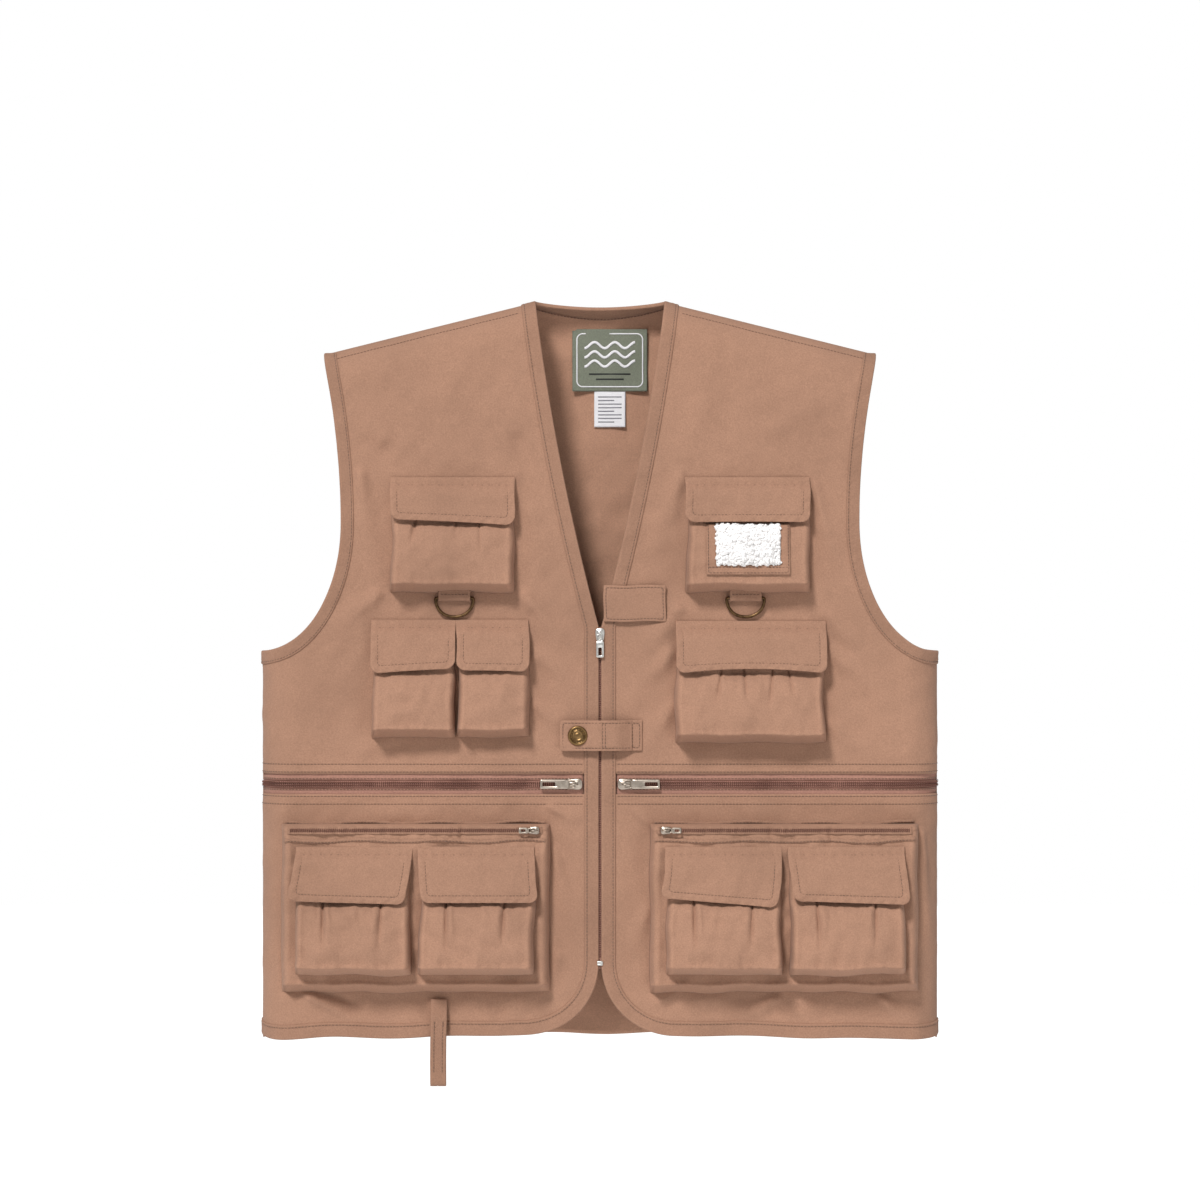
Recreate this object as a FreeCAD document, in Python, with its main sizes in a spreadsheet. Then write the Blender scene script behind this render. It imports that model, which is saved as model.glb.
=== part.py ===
"""Fishing vest: sleeveless zip-front vest with bellows pockets, zipped cargo pockets and hardware.

Frame, in millimetres: +Z up, the front faces -Y, the wearer's left is +X. The origin is at the
middle of the neck, level with the tops of the shoulders, where a hanger or the neck carries it.
"left" and "right" in names are the wearer's.
"""
import FreeCAD, Part
import math
import os
import re
import Sketcher
from FreeCAD import Placement, Rotation, Vector

# ------------------------------------------------------------------ driving dimensions
DIMENSIONS = [
    # the garment
    ("body_half_width", 290, "half the width across the closed vest"),
    ("body_depth", 60, "depth between the front and back panels"),
    ("front_length", 627, "shoulder level to front hem"),
    ("back_length", 632, "shoulder level to back hem"),
    ("cloth", 1.2, "thickness of the body cloth"),
    ("neck_half_width", 56, "half the neck opening"),
    ("shoulder_half_width", 237, "middle to shoulder tip"),
    ("shoulder_drop", 45, "fall of the shoulder from neck to tip"),
    ("vee_depth", 279, "shoulder level to the top of the front zip"),
    ("vee_bulge", 5, "bow of each edge of the V neck"),
    ("back_neck_drop", 4, "dip of the back neck edge"),
    ("armhole_reach", 221, "middle to the innermost armhole edge"),
    ("armhole_waist", 190, "depth of the innermost armhole point"),
    ("underarm", 300, "depth of the bottom of the armhole"),
    ("corner_radius", 62, "round of the front hem corners"),
    ("front_slit", 3, "gap between the two front edges"),
    ("band_width", 12, "width of the front and hem facing"),
    ("band_thick", 1.2, "thickness of facings and bindings"),
    ("neck_band_width", 9, "width of the back neck band"),
    ("binding_width", 11, "width of the armhole binding"),
    ("tape_thick", 0.8, "thickness of zip tape"),
    ("tape_overlap", 6, "zip tape hidden behind each panel"),
    ("front_tape", 28, "width of the front zip's tape"),
    ("stop_width", 5.2, "width of the front zip's bottom stop"),
    ("stop_thick", 1.8, "thickness of the front zip's bottom stop"),
    ("yoke_level", 413, "depth of the cross zips"),
    ("yoke_gap", 17, "zip tape showing between the panels"),
    ("yoke_coil_width", 5, "width of the cross zip's coil"),
    ("coil_thick", 1.6, "height of a coil above its tape"),
    ("clearance", 0.3, "running gap between moving pieces"),
    # upper pockets
    ("upper_center", 126, "middle of each upper pocket"),
    ("upper_level", 152, "depth of the upper flap seams"),
    ("upper_width", 104, "width of the upper pockets"),
    ("upper_bottom", 249, "depth of the upper pocket bottoms"),
    ("upper_gusset", 18, "depth of the upper pockets at the bottom"),
    ("upper_flap", 38, "length of the upper flaps"),
    # twin pocket
    ("twin_split", 122.5, "middle to the slit between the twin pouches"),
    ("twin_level", 273.5, "depth of the twin flap seam"),
    ("twin_outer_width", 70, "width of the outer pouch"),
    ("twin_inner_width", 60, "width of the inner pouch"),
    ("twin_bottom", 373, "depth of the twin pouch bottoms"),
    ("twin_gusset", 18, "depth of the twin pouches at the bottom"),
    ("twin_flap", 43, "length of the twin flaps"),
    # lower pocket
    ("lower_center", 128.5, "middle of the lower pocket"),
    ("lower_level", 274.5, "depth of the lower flap seam"),
    ("lower_width", 126, "width of the lower pocket"),
    ("lower_bottom", 377, "depth of the lower pocket bottom"),
    ("lower_gusset", 22, "depth of the lower pocket at the bottom"),
    ("lower_flap", 44, "length of the lower flap"),
    # cargo pockets
    ("cargo_center", 157, "middle of each cargo pocket"),
    ("cargo_level", 447, "depth of the cargo pocket tops"),
    ("cargo_width", 228, "width of the zipped cargo pockets"),
    ("cargo_bottom", 590, "depth of the cargo pocket bottoms"),
    ("cargo_gusset", 14, "depth of the zipped cargo pockets"),
    ("cargo_zip_width", 9, "zip strip on the cargo pocket"),
    ("pouch_level", 466, "depth of the cargo flap seams"),
    ("pouch_width", 97, "width of each cargo pouch"),
    ("pouch_pitch", 104, "spacing of the two cargo pouches"),
    ("pouch_bottom", 574, "depth of the cargo pouch bottoms"),
    ("pouch_gusset", 20, "depth of the cargo pouches at the bottom"),
    ("pouch_flap", 46, "length of the cargo flaps"),
    # what the pockets share
    ("pocket_cloth", 1.2, "wall of a pocket"),
    ("pocket_mouth", 6, "gap at a pocket's open top"),
    ("mouth_drop", 10, "flap seam to the pocket's open top"),
    ("flap_thick", 1.6, "thickness of a lined flap"),
    ("flap_stand", 4, "length of a flap that stays flat below its seam"),
    ("flap_overhang", 1, "how far a flap passes each side of its pocket"),
    ("flap_corner", 7, "round of the flaps' lower corners"),
    ("flap_gap", 0.6, "gap between a closed flap and its pocket"),
    # fly patch
    ("patch_center", 125.8, "middle of the fly patch"),
    ("patch_level", 191, "depth of the fly patch top"),
    ("patch_width", 71, "width of the fly patch frame"),
    ("patch_height", 44, "height of the fly patch frame"),
    ("patch_border", 8, "cloth showing round the fleece"),
    ("patch_thick", 1.2, "thickness of the fly patch frame"),
    ("fleece_thick", 5, "pile height of the fleece"),
    # rings
    ("ring_center", 124, "middle of each ring"),
    ("ring_level", 254.3, "depth of the ring bars"),
    ("ring_wire", 2.8, "diameter of the ring wire"),
    ("ring_width", 35, "outer width of a ring"),
    ("ring_tab_width", 27, "width of the ring tabs"),
    # closure strap and keeper tab
    ("strap_level", 371.5, "depth of the closure strap's middle"),
    ("strap_height", 26, "width of the closure strap"),
    ("strap_hinge", 27, "middle to the strap's seam"),
    ("strap_anchor", 9, "sewn end beyond the seam"),
    ("strap_reach", 34, "middle to the strap's free end"),
    ("strap_thick", 2, "thickness of the doubled strap"),
    ("strap_bow", 6.5, "height of the strap's inside over the zip"),
    ("strap_seat", 4.4, "height of the strap's inside at the snap"),
    ("strap_rise", 12, "length over which the strap rises from its seam"),
    ("keeper_start", 3, "middle to the keeper tab's seam"),
    ("keeper_width", 53, "length of the keeper tab"),
    ("keeper_level", 259, "depth of the keeper tab's middle"),
    ("keeper_height", 31, "height of the keeper tab"),
    ("keeper_thick", 2.2, "thickness of the keeper tab"),
    # snap
    ("snap_offset", 19, "middle to the snap"),
    ("cap_radius", 8.5, "radius of the snap cap"),
    ("cap_height", 2.2, "height of the snap cap"),
    ("socket_radius", 6.3, "radius of the snap socket"),
    ("socket_height", 2.6, "height of the snap socket"),
    ("stud_radius", 1.9, "radius of the snap stud's post"),
    ("stud_base_radius", 5.5, "radius of the snap stud's base"),
    ("stud_base", 0.5, "thickness of the stud's base"),
    ("socket_roof", 0.4, "metal left behind the socket's bore"),
    ("shank_radius", 1.5, "radius of the rivet shanks"),
    ("post_radius", 4.7, "radius of the post's flange behind the panel"),
    ("post_thick", 0.8, "thickness of the post's flange"),
    # zip sliders
    ("slider_plate", 1.2, "thickness of a slider's plate"),
    ("arch_height", 3.2, "height of a slider's arch"),
    ("arch_width", 2.4, "width of a slider's arch"),
    ("arch_length", 6, "length of a slider's arch"),
    ("pull_wire", 1.6, "thickness of a pull's crossbar"),
    ("pull_thick", 1, "thickness of a pull"),
    ("front_slider_length", 12, "front slider length"),
    ("front_slider_width", 7.5, "front slider width"),
    ("front_pull_length", 19, "front pull length"),
    ("front_pull_width", 6.5, "front pull width"),
    ("yoke_slider_length", 14, "cross zip slider length"),
    ("yoke_slider_width", 9, "cross zip slider width"),
    ("yoke_pull_length", 29, "cross zip pull length"),
    ("yoke_pull_width", 8, "cross zip pull width"),
    ("yoke_slider_start", 22, "middle to a cross zip slider at rest"),
    ("cargo_slider_length", 9, "cargo slider length"),
    ("cargo_slider_width", 6.4, "cargo slider width"),
    ("cargo_pull_length", 13, "cargo pull length"),
    ("cargo_pull_width", 5, "cargo pull width"),
    ("cargo_slider_inset", 13, "cargo pocket's inner end to its slider"),
    # rod loop
    ("loop_center", 137, "middle to the rod loop"),
    ("loop_level", 600, "depth of the rod loop's seam"),
    ("loop_width", 13.5, "width of the rod loop's webbing"),
    ("loop_length", 70, "length of the loop below its seam"),
    ("loop_gap", 5, "gap between the loop's two layers"),
    ("loop_cloth", 1.2, "thickness of one layer of webbing"),
    # labels
    ("label_center", 8.5, "middle to the labels' centre line"),
    ("label_level", 21, "depth of the size label's top"),
    ("label_width", 65, "width of the neck label"),
    ("label_height", 54, "height of the neck label"),
    ("care_width", 27, "width of the care label"),
    ("care_height", 31, "height of the care label below the neck label"),
    ("care_tuck", 6, "part of the care label behind the neck label"),
    ("label_thick", 0.5, "thickness of the labels"),
    ("label_stand", 2, "gap from the back panel to the neck label"),
]

doc = FreeCAD.newDocument("fishing_vest")
sheet = doc.addObject("Spreadsheet::Sheet", "Dimensions")
for row, (alias, number, meaning) in enumerate(DIMENSIONS, start=1):
    sheet.set(f"A{row}", meaning)
    sheet.set(f"B{row}", str(number))
    sheet.setAlias(f"B{row}", alias)
doc.recompute()
ALIASES = {alias for alias, _, _ in DIMENSIONS}
NODES = []


# ------------------------------------------------------------------ helpers
def cell(text):
    """An expression with each alias in it pointed at the sheet."""
    def point(word):
        return "Dimensions." + word[0] if word[0] in ALIASES else word[0]
    return re.sub(r"[a-z_]+", point, str(text))


def size(alias):
    """The number in one cell of the sheet."""
    return float(sheet.get(alias))


def bind(thing, **expressions):
    """Bind properties to expressions on the sheet; at_x, at_y and at_z set the place."""
    for name, text in expressions.items():
        path = ".Placement.Base." + name[-1] if name.startswith("at_") else name
        thing.setExpression(path, cell(text))
    return thing


def node(thing, label):
    """Register an object as a finished sub-part with its own label."""
    thing.Label = label
    NODES.append(thing)
    return thing


def box(name, x, y, z):
    """A box from (low, high) expression pairs along each axis."""
    thing = doc.addObject("Part::Box", name)
    for low_high, side, place in ((x, "Length", "at_x"), (y, "Width", "at_y"), (z, "Height", "at_z")):
        bind(thing, **{side: f"({low_high[1]}) - ({low_high[0]})", place: low_high[0]})
    return thing


def cylinder(name, radius, height, turn, x, y, z):
    """A cylinder whose axis, first +Z, is turned by a rotation."""
    thing = doc.addObject("Part::Cylinder", name)
    thing.Placement = Placement(Vector(), turn)
    return bind(thing, Radius=radius, Height=height, at_x=x, at_y=y, at_z=z)


def fuse(name, *pieces):
    thing = doc.addObject("Part::MultiFuse", name)
    thing.Shapes = list(pieces)
    return thing


def group(name, *pieces):
    """Separate solids kept in one node."""
    thing = doc.addObject("Part::Compound", name)
    thing.Links = list(pieces)
    return thing


def cut(name, base, tool):
    thing = doc.addObject("Part::Cut", name)
    thing.Base = base
    thing.Tool = tool
    return thing


def outline_sketch(body, name, plane, points):
    """A closed outline of straight runs whose corners are bound to expressions."""
    sketch = body.newObject("Sketcher::SketchObject", name)
    origin_plane = [item for item in body.Origin.OriginFeatures if item.Role == plane][0]
    sketch.AttachmentSupport = [(origin_plane, "")]
    sketch.MapMode = "FlatFace"
    count = len(points)
    for index in range(count):
        here = 2 * math.pi * index / count
        ahead = 2 * math.pi * (index + 1) / count
        sketch.addGeometry(Part.LineSegment(Vector(math.cos(here), math.sin(here), 0),
                                            Vector(math.cos(ahead), math.sin(ahead), 0)))
    for index in range(count):
        sketch.addConstraint(Sketcher.Constraint("Coincident", index, 2, (index + 1) % count, 1))
    for index, corner in enumerate(points):
        for direction, text in zip(("DistanceX", "DistanceY"), corner):
            made = sketch.addConstraint(Sketcher.Constraint(direction, -1, 1, index, 1, 1.0))
            sketch.setExpression(f"Constraints[{made}]", cell(text))
    return sketch


def padded_body(name, plane, points, length, symmetric=True):
    """A body with one pad of an outline; a pad from XZ_Plane that isn't symmetric grows to -Y."""
    body = doc.addObject("PartDesign::Body", name)
    pad = body.newObject("PartDesign::Pad", name + "_pad")
    pad.Profile = outline_sketch(body, name + "_outline", plane, points)
    pad.SideType = "Symmetric" if symmetric else "One side"
    bind(pad, Length=length)
    doc.recompute()
    return body, pad


def round_corners(body, pad, radius, chosen):
    """Fillet the straight edges of a pad whose middle point passes the test."""
    names = [f"Edge{number}" for number, edge in enumerate(pad.Shape.Edges, start=1)
             if chosen(edge.Vertexes[0].Point, edge.Vertexes[-1].Point)]
    fillet = body.newObject("PartDesign::Fillet", body.Name + "_round")
    fillet.Base = (pad, names)
    bind(fillet, Radius=radius)
    doc.recompute()
    return body


def plate_body(name, width, height, thick, corner=None):
    """A flat plate facing -Y: top middle at the origin, hanging down, back on the XZ plane."""
    half = f"({width}) / 2"
    corners = [(f"-{half}", f"-({height})"), (half, f"-({height})"), (half, "0"), (f"-{half}", "0")]
    body, pad = padded_body(name, "XZ_Plane", corners, thick, symmetric=False)
    if corner:
        low = -0.5 * pad.Shape.BoundBox.ZLength
        round_corners(body, pad, corner,
                      lambda one, two: max(one.z, two.z) < low and abs(one.y - two.y) > 0.1)
    return body


# ------------------------------------------------------------------ cloth shell of the garment
HALF_DEPTH = size("body_depth") / 2
SIDE_X = size("body_half_width") - HALF_DEPTH          # centre line of each rounded side
ABOVE = 20                                             # cutting outlines rise this far over the shoulders
SLOPE = size("shoulder_drop") / (size("shoulder_half_width") - size("neck_half_width"))
FAR_X = size("body_half_width") + 30
RIVET_PLAY = 0.1                                       # a rivet hole's radius over its shank
FULL_LENGTH = max(size("front_length"), size("back_length"))


def garment_form(offset):
    """The body form grown by an offset: a flattened tube under an arched, sloping shoulder line."""
    radius = HALF_DEPTH + offset
    tube = Part.makeBox(2 * SIDE_X, 2 * radius, FULL_LENGTH + ABOVE, Vector(-SIDE_X, -radius, -FULL_LENGTH))
    for side in (-1, 1):
        foot = Vector(side * SIDE_X, 0, -FULL_LENGTH)
        tube = tube.fuse(Part.makeCylinder(radius, FULL_LENGTH + ABOVE, foot))
    neck = size("neck_half_width")
    low = -FULL_LENGTH - ABOVE
    front_spring = Vector(neck, -radius, -HALF_DEPTH)
    back_spring = Vector(neck, radius, -HALF_DEPTH)
    arch = Part.Wire([
        Part.makeLine(Vector(neck, -radius, low), front_spring),
        Part.Arc(front_spring, Vector(neck, 0, offset), back_spring).toShape(),
        Part.makeLine(back_spring, Vector(neck, radius, low)),
        Part.makeLine(Vector(neck, radius, low), Vector(neck, -radius, low)),
    ])
    section = Part.Face(arch)
    run = FAR_X - neck
    left = section.extrude(Vector(run, 0, -SLOPE * run))
    right = left.mirror(Vector(), Vector(1, 0, 0))
    middle = section.extrude(Vector(-2 * neck, 0, 0))
    return tube.removeSplitter().common(left.fuse([right, middle])).removeSplitter()


def skin(inner, outer):
    return garment_form(outer).cut(garment_form(inner))


def prism(edges, y_low, y_high):
    """A closed outline in the XZ plane carried along Y."""
    face = Part.Face(Part.Wire(Part.__sortEdges__(edges)))
    face.translate(Vector(0, y_low, 0))
    return face.extrude(Vector(0, y_high - y_low, 0))


def runs(*points):
    """Straight edges through (x, z) points."""
    spots = [Vector(x, 0, z) for x, z in points]
    return [Part.makeLine(one, two) for one, two in zip(spots, spots[1:])]


def arc(start, middle, end):
    return Part.Arc(*(Vector(x, 0, z) for x, z in (start, middle, end))).toShape()


def curve(*poles):
    bezier = Part.BezierCurve()
    bezier.setPoles([Vector(x, 0, z) for x, z in poles])
    return bezier.toShape()


def front_region(inset):
    """Outline of the left front, set back from its V edge, zip edge, round corner and hem."""
    neck = size("neck_half_width") + inset
    edge = size("front_slit") / 2 + inset
    vee = -size("vee_depth")
    hem = -size("front_length") + inset
    corner = size("front_slit") / 2 + size("corner_radius")
    corner_z = -size("front_length") + size("corner_radius")
    radius = size("corner_radius") - inset
    lean = math.sqrt(0.5) * radius
    return [
        *runs((FAR_X, hem), (FAR_X, ABOVE), (neck, ABOVE), (neck, 0)),
        arc((neck, 0), ((neck + edge) / 2 + size("vee_bulge"), vee / 2), (edge, vee)),
        *runs((edge, vee), (edge, corner_z)),
        arc((edge, corner_z), (corner - lean, corner_z - lean), (corner, hem)),
        *runs((corner, hem), (FAR_X, hem)),
    ]


def armhole_region(border):
    """Everything outside the left armhole's edge, moved into the cloth by a border."""
    tip = size("shoulder_half_width") - border
    waist = size("armhole_reach") - border
    side = size("body_half_width")
    waist_z = -size("armhole_waist")
    under = -size("underarm") - border
    quarter = 4 * (math.sqrt(2) - 1) / 3
    return [
        *runs((FAR_X, under), (FAR_X, ABOVE), (tip, ABOVE), (tip, -size("shoulder_drop"))),
        curve((tip, -size("shoulder_drop")), (waist, 0.62 * waist_z), (waist, waist_z)),
        curve((waist, waist_z), (waist, waist_z + quarter * (under - waist_z)),
              (side - quarter * (side - waist), under), (side, under)),
        *runs((side, under), (FAR_X, under)),
    ]


def neck_region(border):
    """The back neck opening, grown by a border."""
    half = size("neck_half_width") + border
    return [
        *runs((half, 0), (half, ABOVE), (-half, ABOVE), (-half, 0)),
        arc((-half, 0), (0, -size("back_neck_drop") - border), (half, 0)),
    ]


FRONT = (-2 * HALF_DEPTH, 0)
BACK = (0, 2 * HALF_DEPTH)
BOTH = (-2 * HALF_DEPTH, 2 * HALF_DEPTH)


def mirrored(shape):
    return shape.mirror(Vector(), Vector(1, 0, 0))


def cloth_piece(label, shape):
    """A sewn piece of the garment's own curved skin."""
    thing = doc.addObject("Part::Feature", label)
    thing.Shape = shape.Solids[0] if len(shape.Solids) == 1 else shape
    return node(thing, label)


def make_panels():
    cloth = skin(-size("cloth"), 0)
    armhole = prism(armhole_region(0), *BOTH)
    both_armholes = armhole.fuse(mirrored(armhole))
    back = cloth.common(Part.makeBox(4 * FAR_X, BACK[1], size("back_length") + ABOVE,
                                     Vector(-2 * FAR_X, 0, -size("back_length"))))
    cloth_piece("back_panel", back.cut(both_armholes).cut(prism(neck_region(0), *BACK)))
    front = cloth.common(prism(front_region(0), *FRONT)).cut(armhole)
    half_gap = size("yoke_gap") / 2
    split = Part.makeBox(4 * FAR_X, 4 * HALF_DEPTH, 2 * half_gap,
                         Vector(-2 * FAR_X, -2 * HALF_DEPTH, -size("yoke_level") - half_gap))
    upper, lower = sorted(front.cut(split).Solids, key=lambda solid: -solid.BoundBox.ZMax)
    rivet_at = Vector(-size("snap_offset"), -2 * HALF_DEPTH, -size("strap_level"))
    rivet_hole = Part.makeCylinder(size("shank_radius") + RIVET_PLAY, BACK[1], rivet_at, Vector(0, 1, 0))
    for name, solid in (("front_upper", upper), ("front_lower", lower)):
        cloth_piece(name + "_left", solid)
        cloth_piece(name + "_right", mirrored(solid).cut(rivet_hole))


def make_facings():
    """Front facings with the hem facing, the back neck band and the two armhole bindings."""
    thick = skin(0, size("band_thick"))
    border = prism(armhole_region(size("binding_width")), *BOTH)
    armhole = prism(armhole_region(0), *BOTH)
    facing = thick.common(prism(front_region(0), *FRONT)).cut(prism(front_region(size("band_width")), *BOTH))
    facing = facing.cut(border)
    cloth_piece("front_facing_left", facing)
    cloth_piece("front_facing_right", mirrored(facing))
    back_box = Part.makeBox(4 * FAR_X, BACK[1], FULL_LENGTH, Vector(-2 * FAR_X, 0, -FULL_LENGTH / 2))
    grown = prism(neck_region(size("neck_band_width")), *BACK).common(back_box)
    cloth_piece("back_neck_band", thick.common(grown).cut(prism(neck_region(0), *BOTH)))
    binding = thick.common(border).cut(armhole)
    cloth_piece("armhole_binding_left", binding)
    cloth_piece("armhole_binding_right", mirrored(binding))


def make_cross_zips():
    """Tape, coil and end stop of the zip across each front, from the facing round to the side seam."""
    inner = -size("cloth")
    start = size("front_slit") / 2 + size("band_width") + 1
    level = -size("yoke_level")
    half_tape = size("yoke_gap") / 2 + size("tape_overlap")
    half_coil = size("yoke_coil_width") / 2
    stop_y = -6
    tape = skin(inner - size("tape_thick"), inner).common(
        Part.makeBox(FAR_X, BACK[1], 2 * half_tape, Vector(start, -BACK[1], level - half_tape)))
    ridge = skin(inner, inner + size("coil_thick"))
    coil = ridge.common(Part.makeBox(FAR_X, BACK[1] + stop_y, 2 * half_coil,
                                     Vector(start, -BACK[1], level - half_coil)))
    stop = ridge.common(Part.makeBox(FAR_X, 4, 2 * half_coil + 2,
                                     Vector(SIDE_X, stop_y + 0.3, level - half_coil - 1)))
    chain = tape.fuse(coil).removeSplitter()
    for name, shape in (("cross_zip_chains", chain), ("cross_zip_stops", stop)):
        pair = doc.addObject("Part::Feature", name)
        pair.Shape = Part.makeCompound([shape, mirrored(shape)])
        node(pair, name)


FACE = "body_depth / 2"                                # depth of the front panels' outer face


def make_front_zip():
    """Tape and coil behind the two free edges, and the stop at their lower end."""
    tape_back = f"-({FACE}) + cloth"
    edge_end = "(-front_length + corner_radius)"
    half_coil = "front_slit / 2 - clearance"
    tape = box("front_tape", ("-front_tape / 2", "front_tape / 2"), (tape_back, f"{tape_back} + tape_thick"),
               (f"{edge_end} - tape_overlap", "-vee_depth"))
    coil = box("front_coil", (f"-({half_coil})", half_coil), (f"-({FACE}) + 0.2", tape_back),
               (f"{edge_end} + 2", "-vee_depth - 1"))
    node(fuse("front_tape_and_coil", tape, coil), "front_zip_chain")
    facing = f"-({FACE}) - band_thick"
    height = (f"{edge_end} - 2.5", f"{edge_end} + 1.5")
    stop = box("front_stop", ("-stop_width / 2", "stop_width / 2"),
               (f"{facing} - stop_thick", facing), height)
    shank = box("front_stop_shank", (f"-({half_coil}) + 0.1", f"{half_coil} - 0.1"),
                (facing, tape_back), height)
    node(fuse("front_stop_pair", stop, shank), "front_zip_stop")


# ------------------------------------------------------------------ pockets and flaps
UPRIGHT = Rotation(Vector(1, 0, 0), 90)                # a wedge's Y becomes Z and its Z becomes -Y


def tapered_block(name, half_width, low, high, depth_low, depth_high, start="0"):
    wedge = doc.addObject("Part::Wedge", name)
    wedge.Placement = Placement(Vector(), UPRIGHT)
    return bind(wedge, Xmin=f"-({half_width})", Xmax=half_width, X2min=f"-({half_width})", X2max=half_width,
                Ymin=low, Ymax=high, Zmin=start, Zmax=depth_low, Z2min=start, Z2max=depth_high)


def make_pouch(label, center, width, top, bottom, gusset, mouth, face):
    """Pocket bag: front, two sides and a bottom, deepest at the bottom, open at the top and behind."""
    height = f"(({bottom}) - ({top}))"
    rise = 4                                           # the hollow is cut on past the open top
    fall = f"(({gusset}) - ({mouth})) / {height}"
    half = f"({width}) / 2"
    outer = tapered_block(label + "_outer", half, "0", height, gusset, mouth)
    inner = tapered_block(label + "_inner", f"{half} - pocket_cloth", "pocket_cloth", f"{height} + {rise}",
                          f"({gusset}) - pocket_cloth * (1 + {fall})",
                          f"({mouth}) - pocket_cloth - {rise} * {fall}", start="-1")
    pouch = cut(label, outer, inner)
    bind(pouch, at_x=center, at_y=f"-({face})", at_z=f"-({bottom})")
    return node(pouch, label)


def make_flap(label, center, width, level, length, bottom, gusset, face):
    """Pocket flap: flat below its seam, out over the pocket's mouth, then along the pocket's front."""
    height = f"(({bottom}) - ({level}) - mouth_drop)"
    fall = f"((({gusset}) - pocket_mouth) / {height})"
    near = "clearance"
    knee = "pocket_mouth + flap_gap"
    hem = f"(pocket_mouth + flap_gap + {fall} * (({length}) - mouth_drop))"
    thick = "flap_thick"
    profile = [
        (f"-({near} + {thick} / 4)", f"{thick} / 4"),
        (f"-({near})", f"-{thick} / 4"),
        (f"-({near})", "-flap_stand"),
        (f"-({knee})", "-mouth_drop"),
        (f"-({hem})", f"-({length})"),
        (f"-({hem}) - {thick}", f"-({length})"),
        (f"-({knee}) - {thick}", "-mouth_drop + 0.8"),
        (f"-({near} + {thick})", "-flap_stand + 0.8"),
        (f"-({near} + {thick})", f"-{thick} / 4"),
        (f"-({near} + 3 * {thick} / 4)", f"{thick} / 4"),
    ]
    body, pad = padded_body(label, "YZ_Plane", profile, width)
    low = -0.98 * pad.Shape.BoundBox.ZLength
    round_corners(body, pad, "flap_corner",
                  lambda one, two: max(one.z, two.z) < low and abs(one.x - two.x) < 0.01)
    bind(body, at_x=center, at_y=f"-({face})", at_z=f"-({level})")
    return node(body, label)


def make_pocket(name, center, width, level, bottom, gusset, flap_length, face=FACE):
    mouth_level = f"({level}) + mouth_drop"
    flap_width = f"({width}) + 2 * flap_overhang"
    make_pouch(name + "_pocket", center, width, mouth_level, bottom, gusset, "pocket_mouth", face)
    make_flap(name + "_flap", center, flap_width, level, flap_length, bottom, gusset, face)


def make_chest_pockets():
    for side, sign in (("left", ""), ("right", "-")):
        make_pocket("upper_" + side, sign + "upper_center", "upper_width", "upper_level", "upper_bottom",
                    "upper_gusset", "upper_flap")
    gap = "flap_overhang + 0.4"
    for place, way in (("outer", "+"), ("inner", "-")):
        make_pocket("twin_" + place, f"-(twin_split {way} ({gap}) {way} twin_{place}_width / 2)",
                    f"twin_{place}_width", "twin_level", "twin_bottom", "twin_gusset", "twin_flap")
    make_pocket("lower_left", "lower_center", "lower_width", "lower_level", "lower_bottom", "lower_gusset",
                "lower_flap")


def make_fly_patch():
    """A cloth frame sewn on the upper left pocket with a fleece pad in its window."""
    height = "(upper_bottom - upper_level - mouth_drop)"
    lean = f"atan((upper_gusset - pocket_mouth) / {height})"
    below = "(patch_level - upper_level - mouth_drop)"
    depth = f"(pocket_mouth + (upper_gusset - pocket_mouth) * {below} / {height})"
    frame = plate_body("fly_patch_cloth", "patch_width", "patch_height", "patch_thick")
    window = box("fly_patch_window", ("-patch_width / 2 + patch_border", "patch_width / 2 - patch_border"),
                 ("-patch_thick - 1", "1"), ("-patch_height + patch_border", "-1"))
    frame = cut("fly_patch_open", frame, window)
    tuck = 1.2                                         # the fleece starts this far below the frame's top
    fleece = plate_body("fleece_block", "patch_width - 2 * patch_border - 0.4",
                        f"patch_height - patch_border - 0.2 - {tuck}", "fleece_thick")
    for piece, drop, label in ((frame, 0, "fly_patch_frame"), (fleece, tuck, "fly_patch_fleece")):
        piece.Placement = Placement(Vector(), Rotation(Vector(-1, 0, 0), 1))
        bind(piece, at_x="patch_center", at_y=f"-({FACE}) - {depth} - {drop} * sin({lean})",
             at_z=f"-patch_level - {drop} * cos({lean})")
        piece.setExpression(".Placement.Rotation.Angle", cell(lean))
        node(piece, label)


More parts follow.
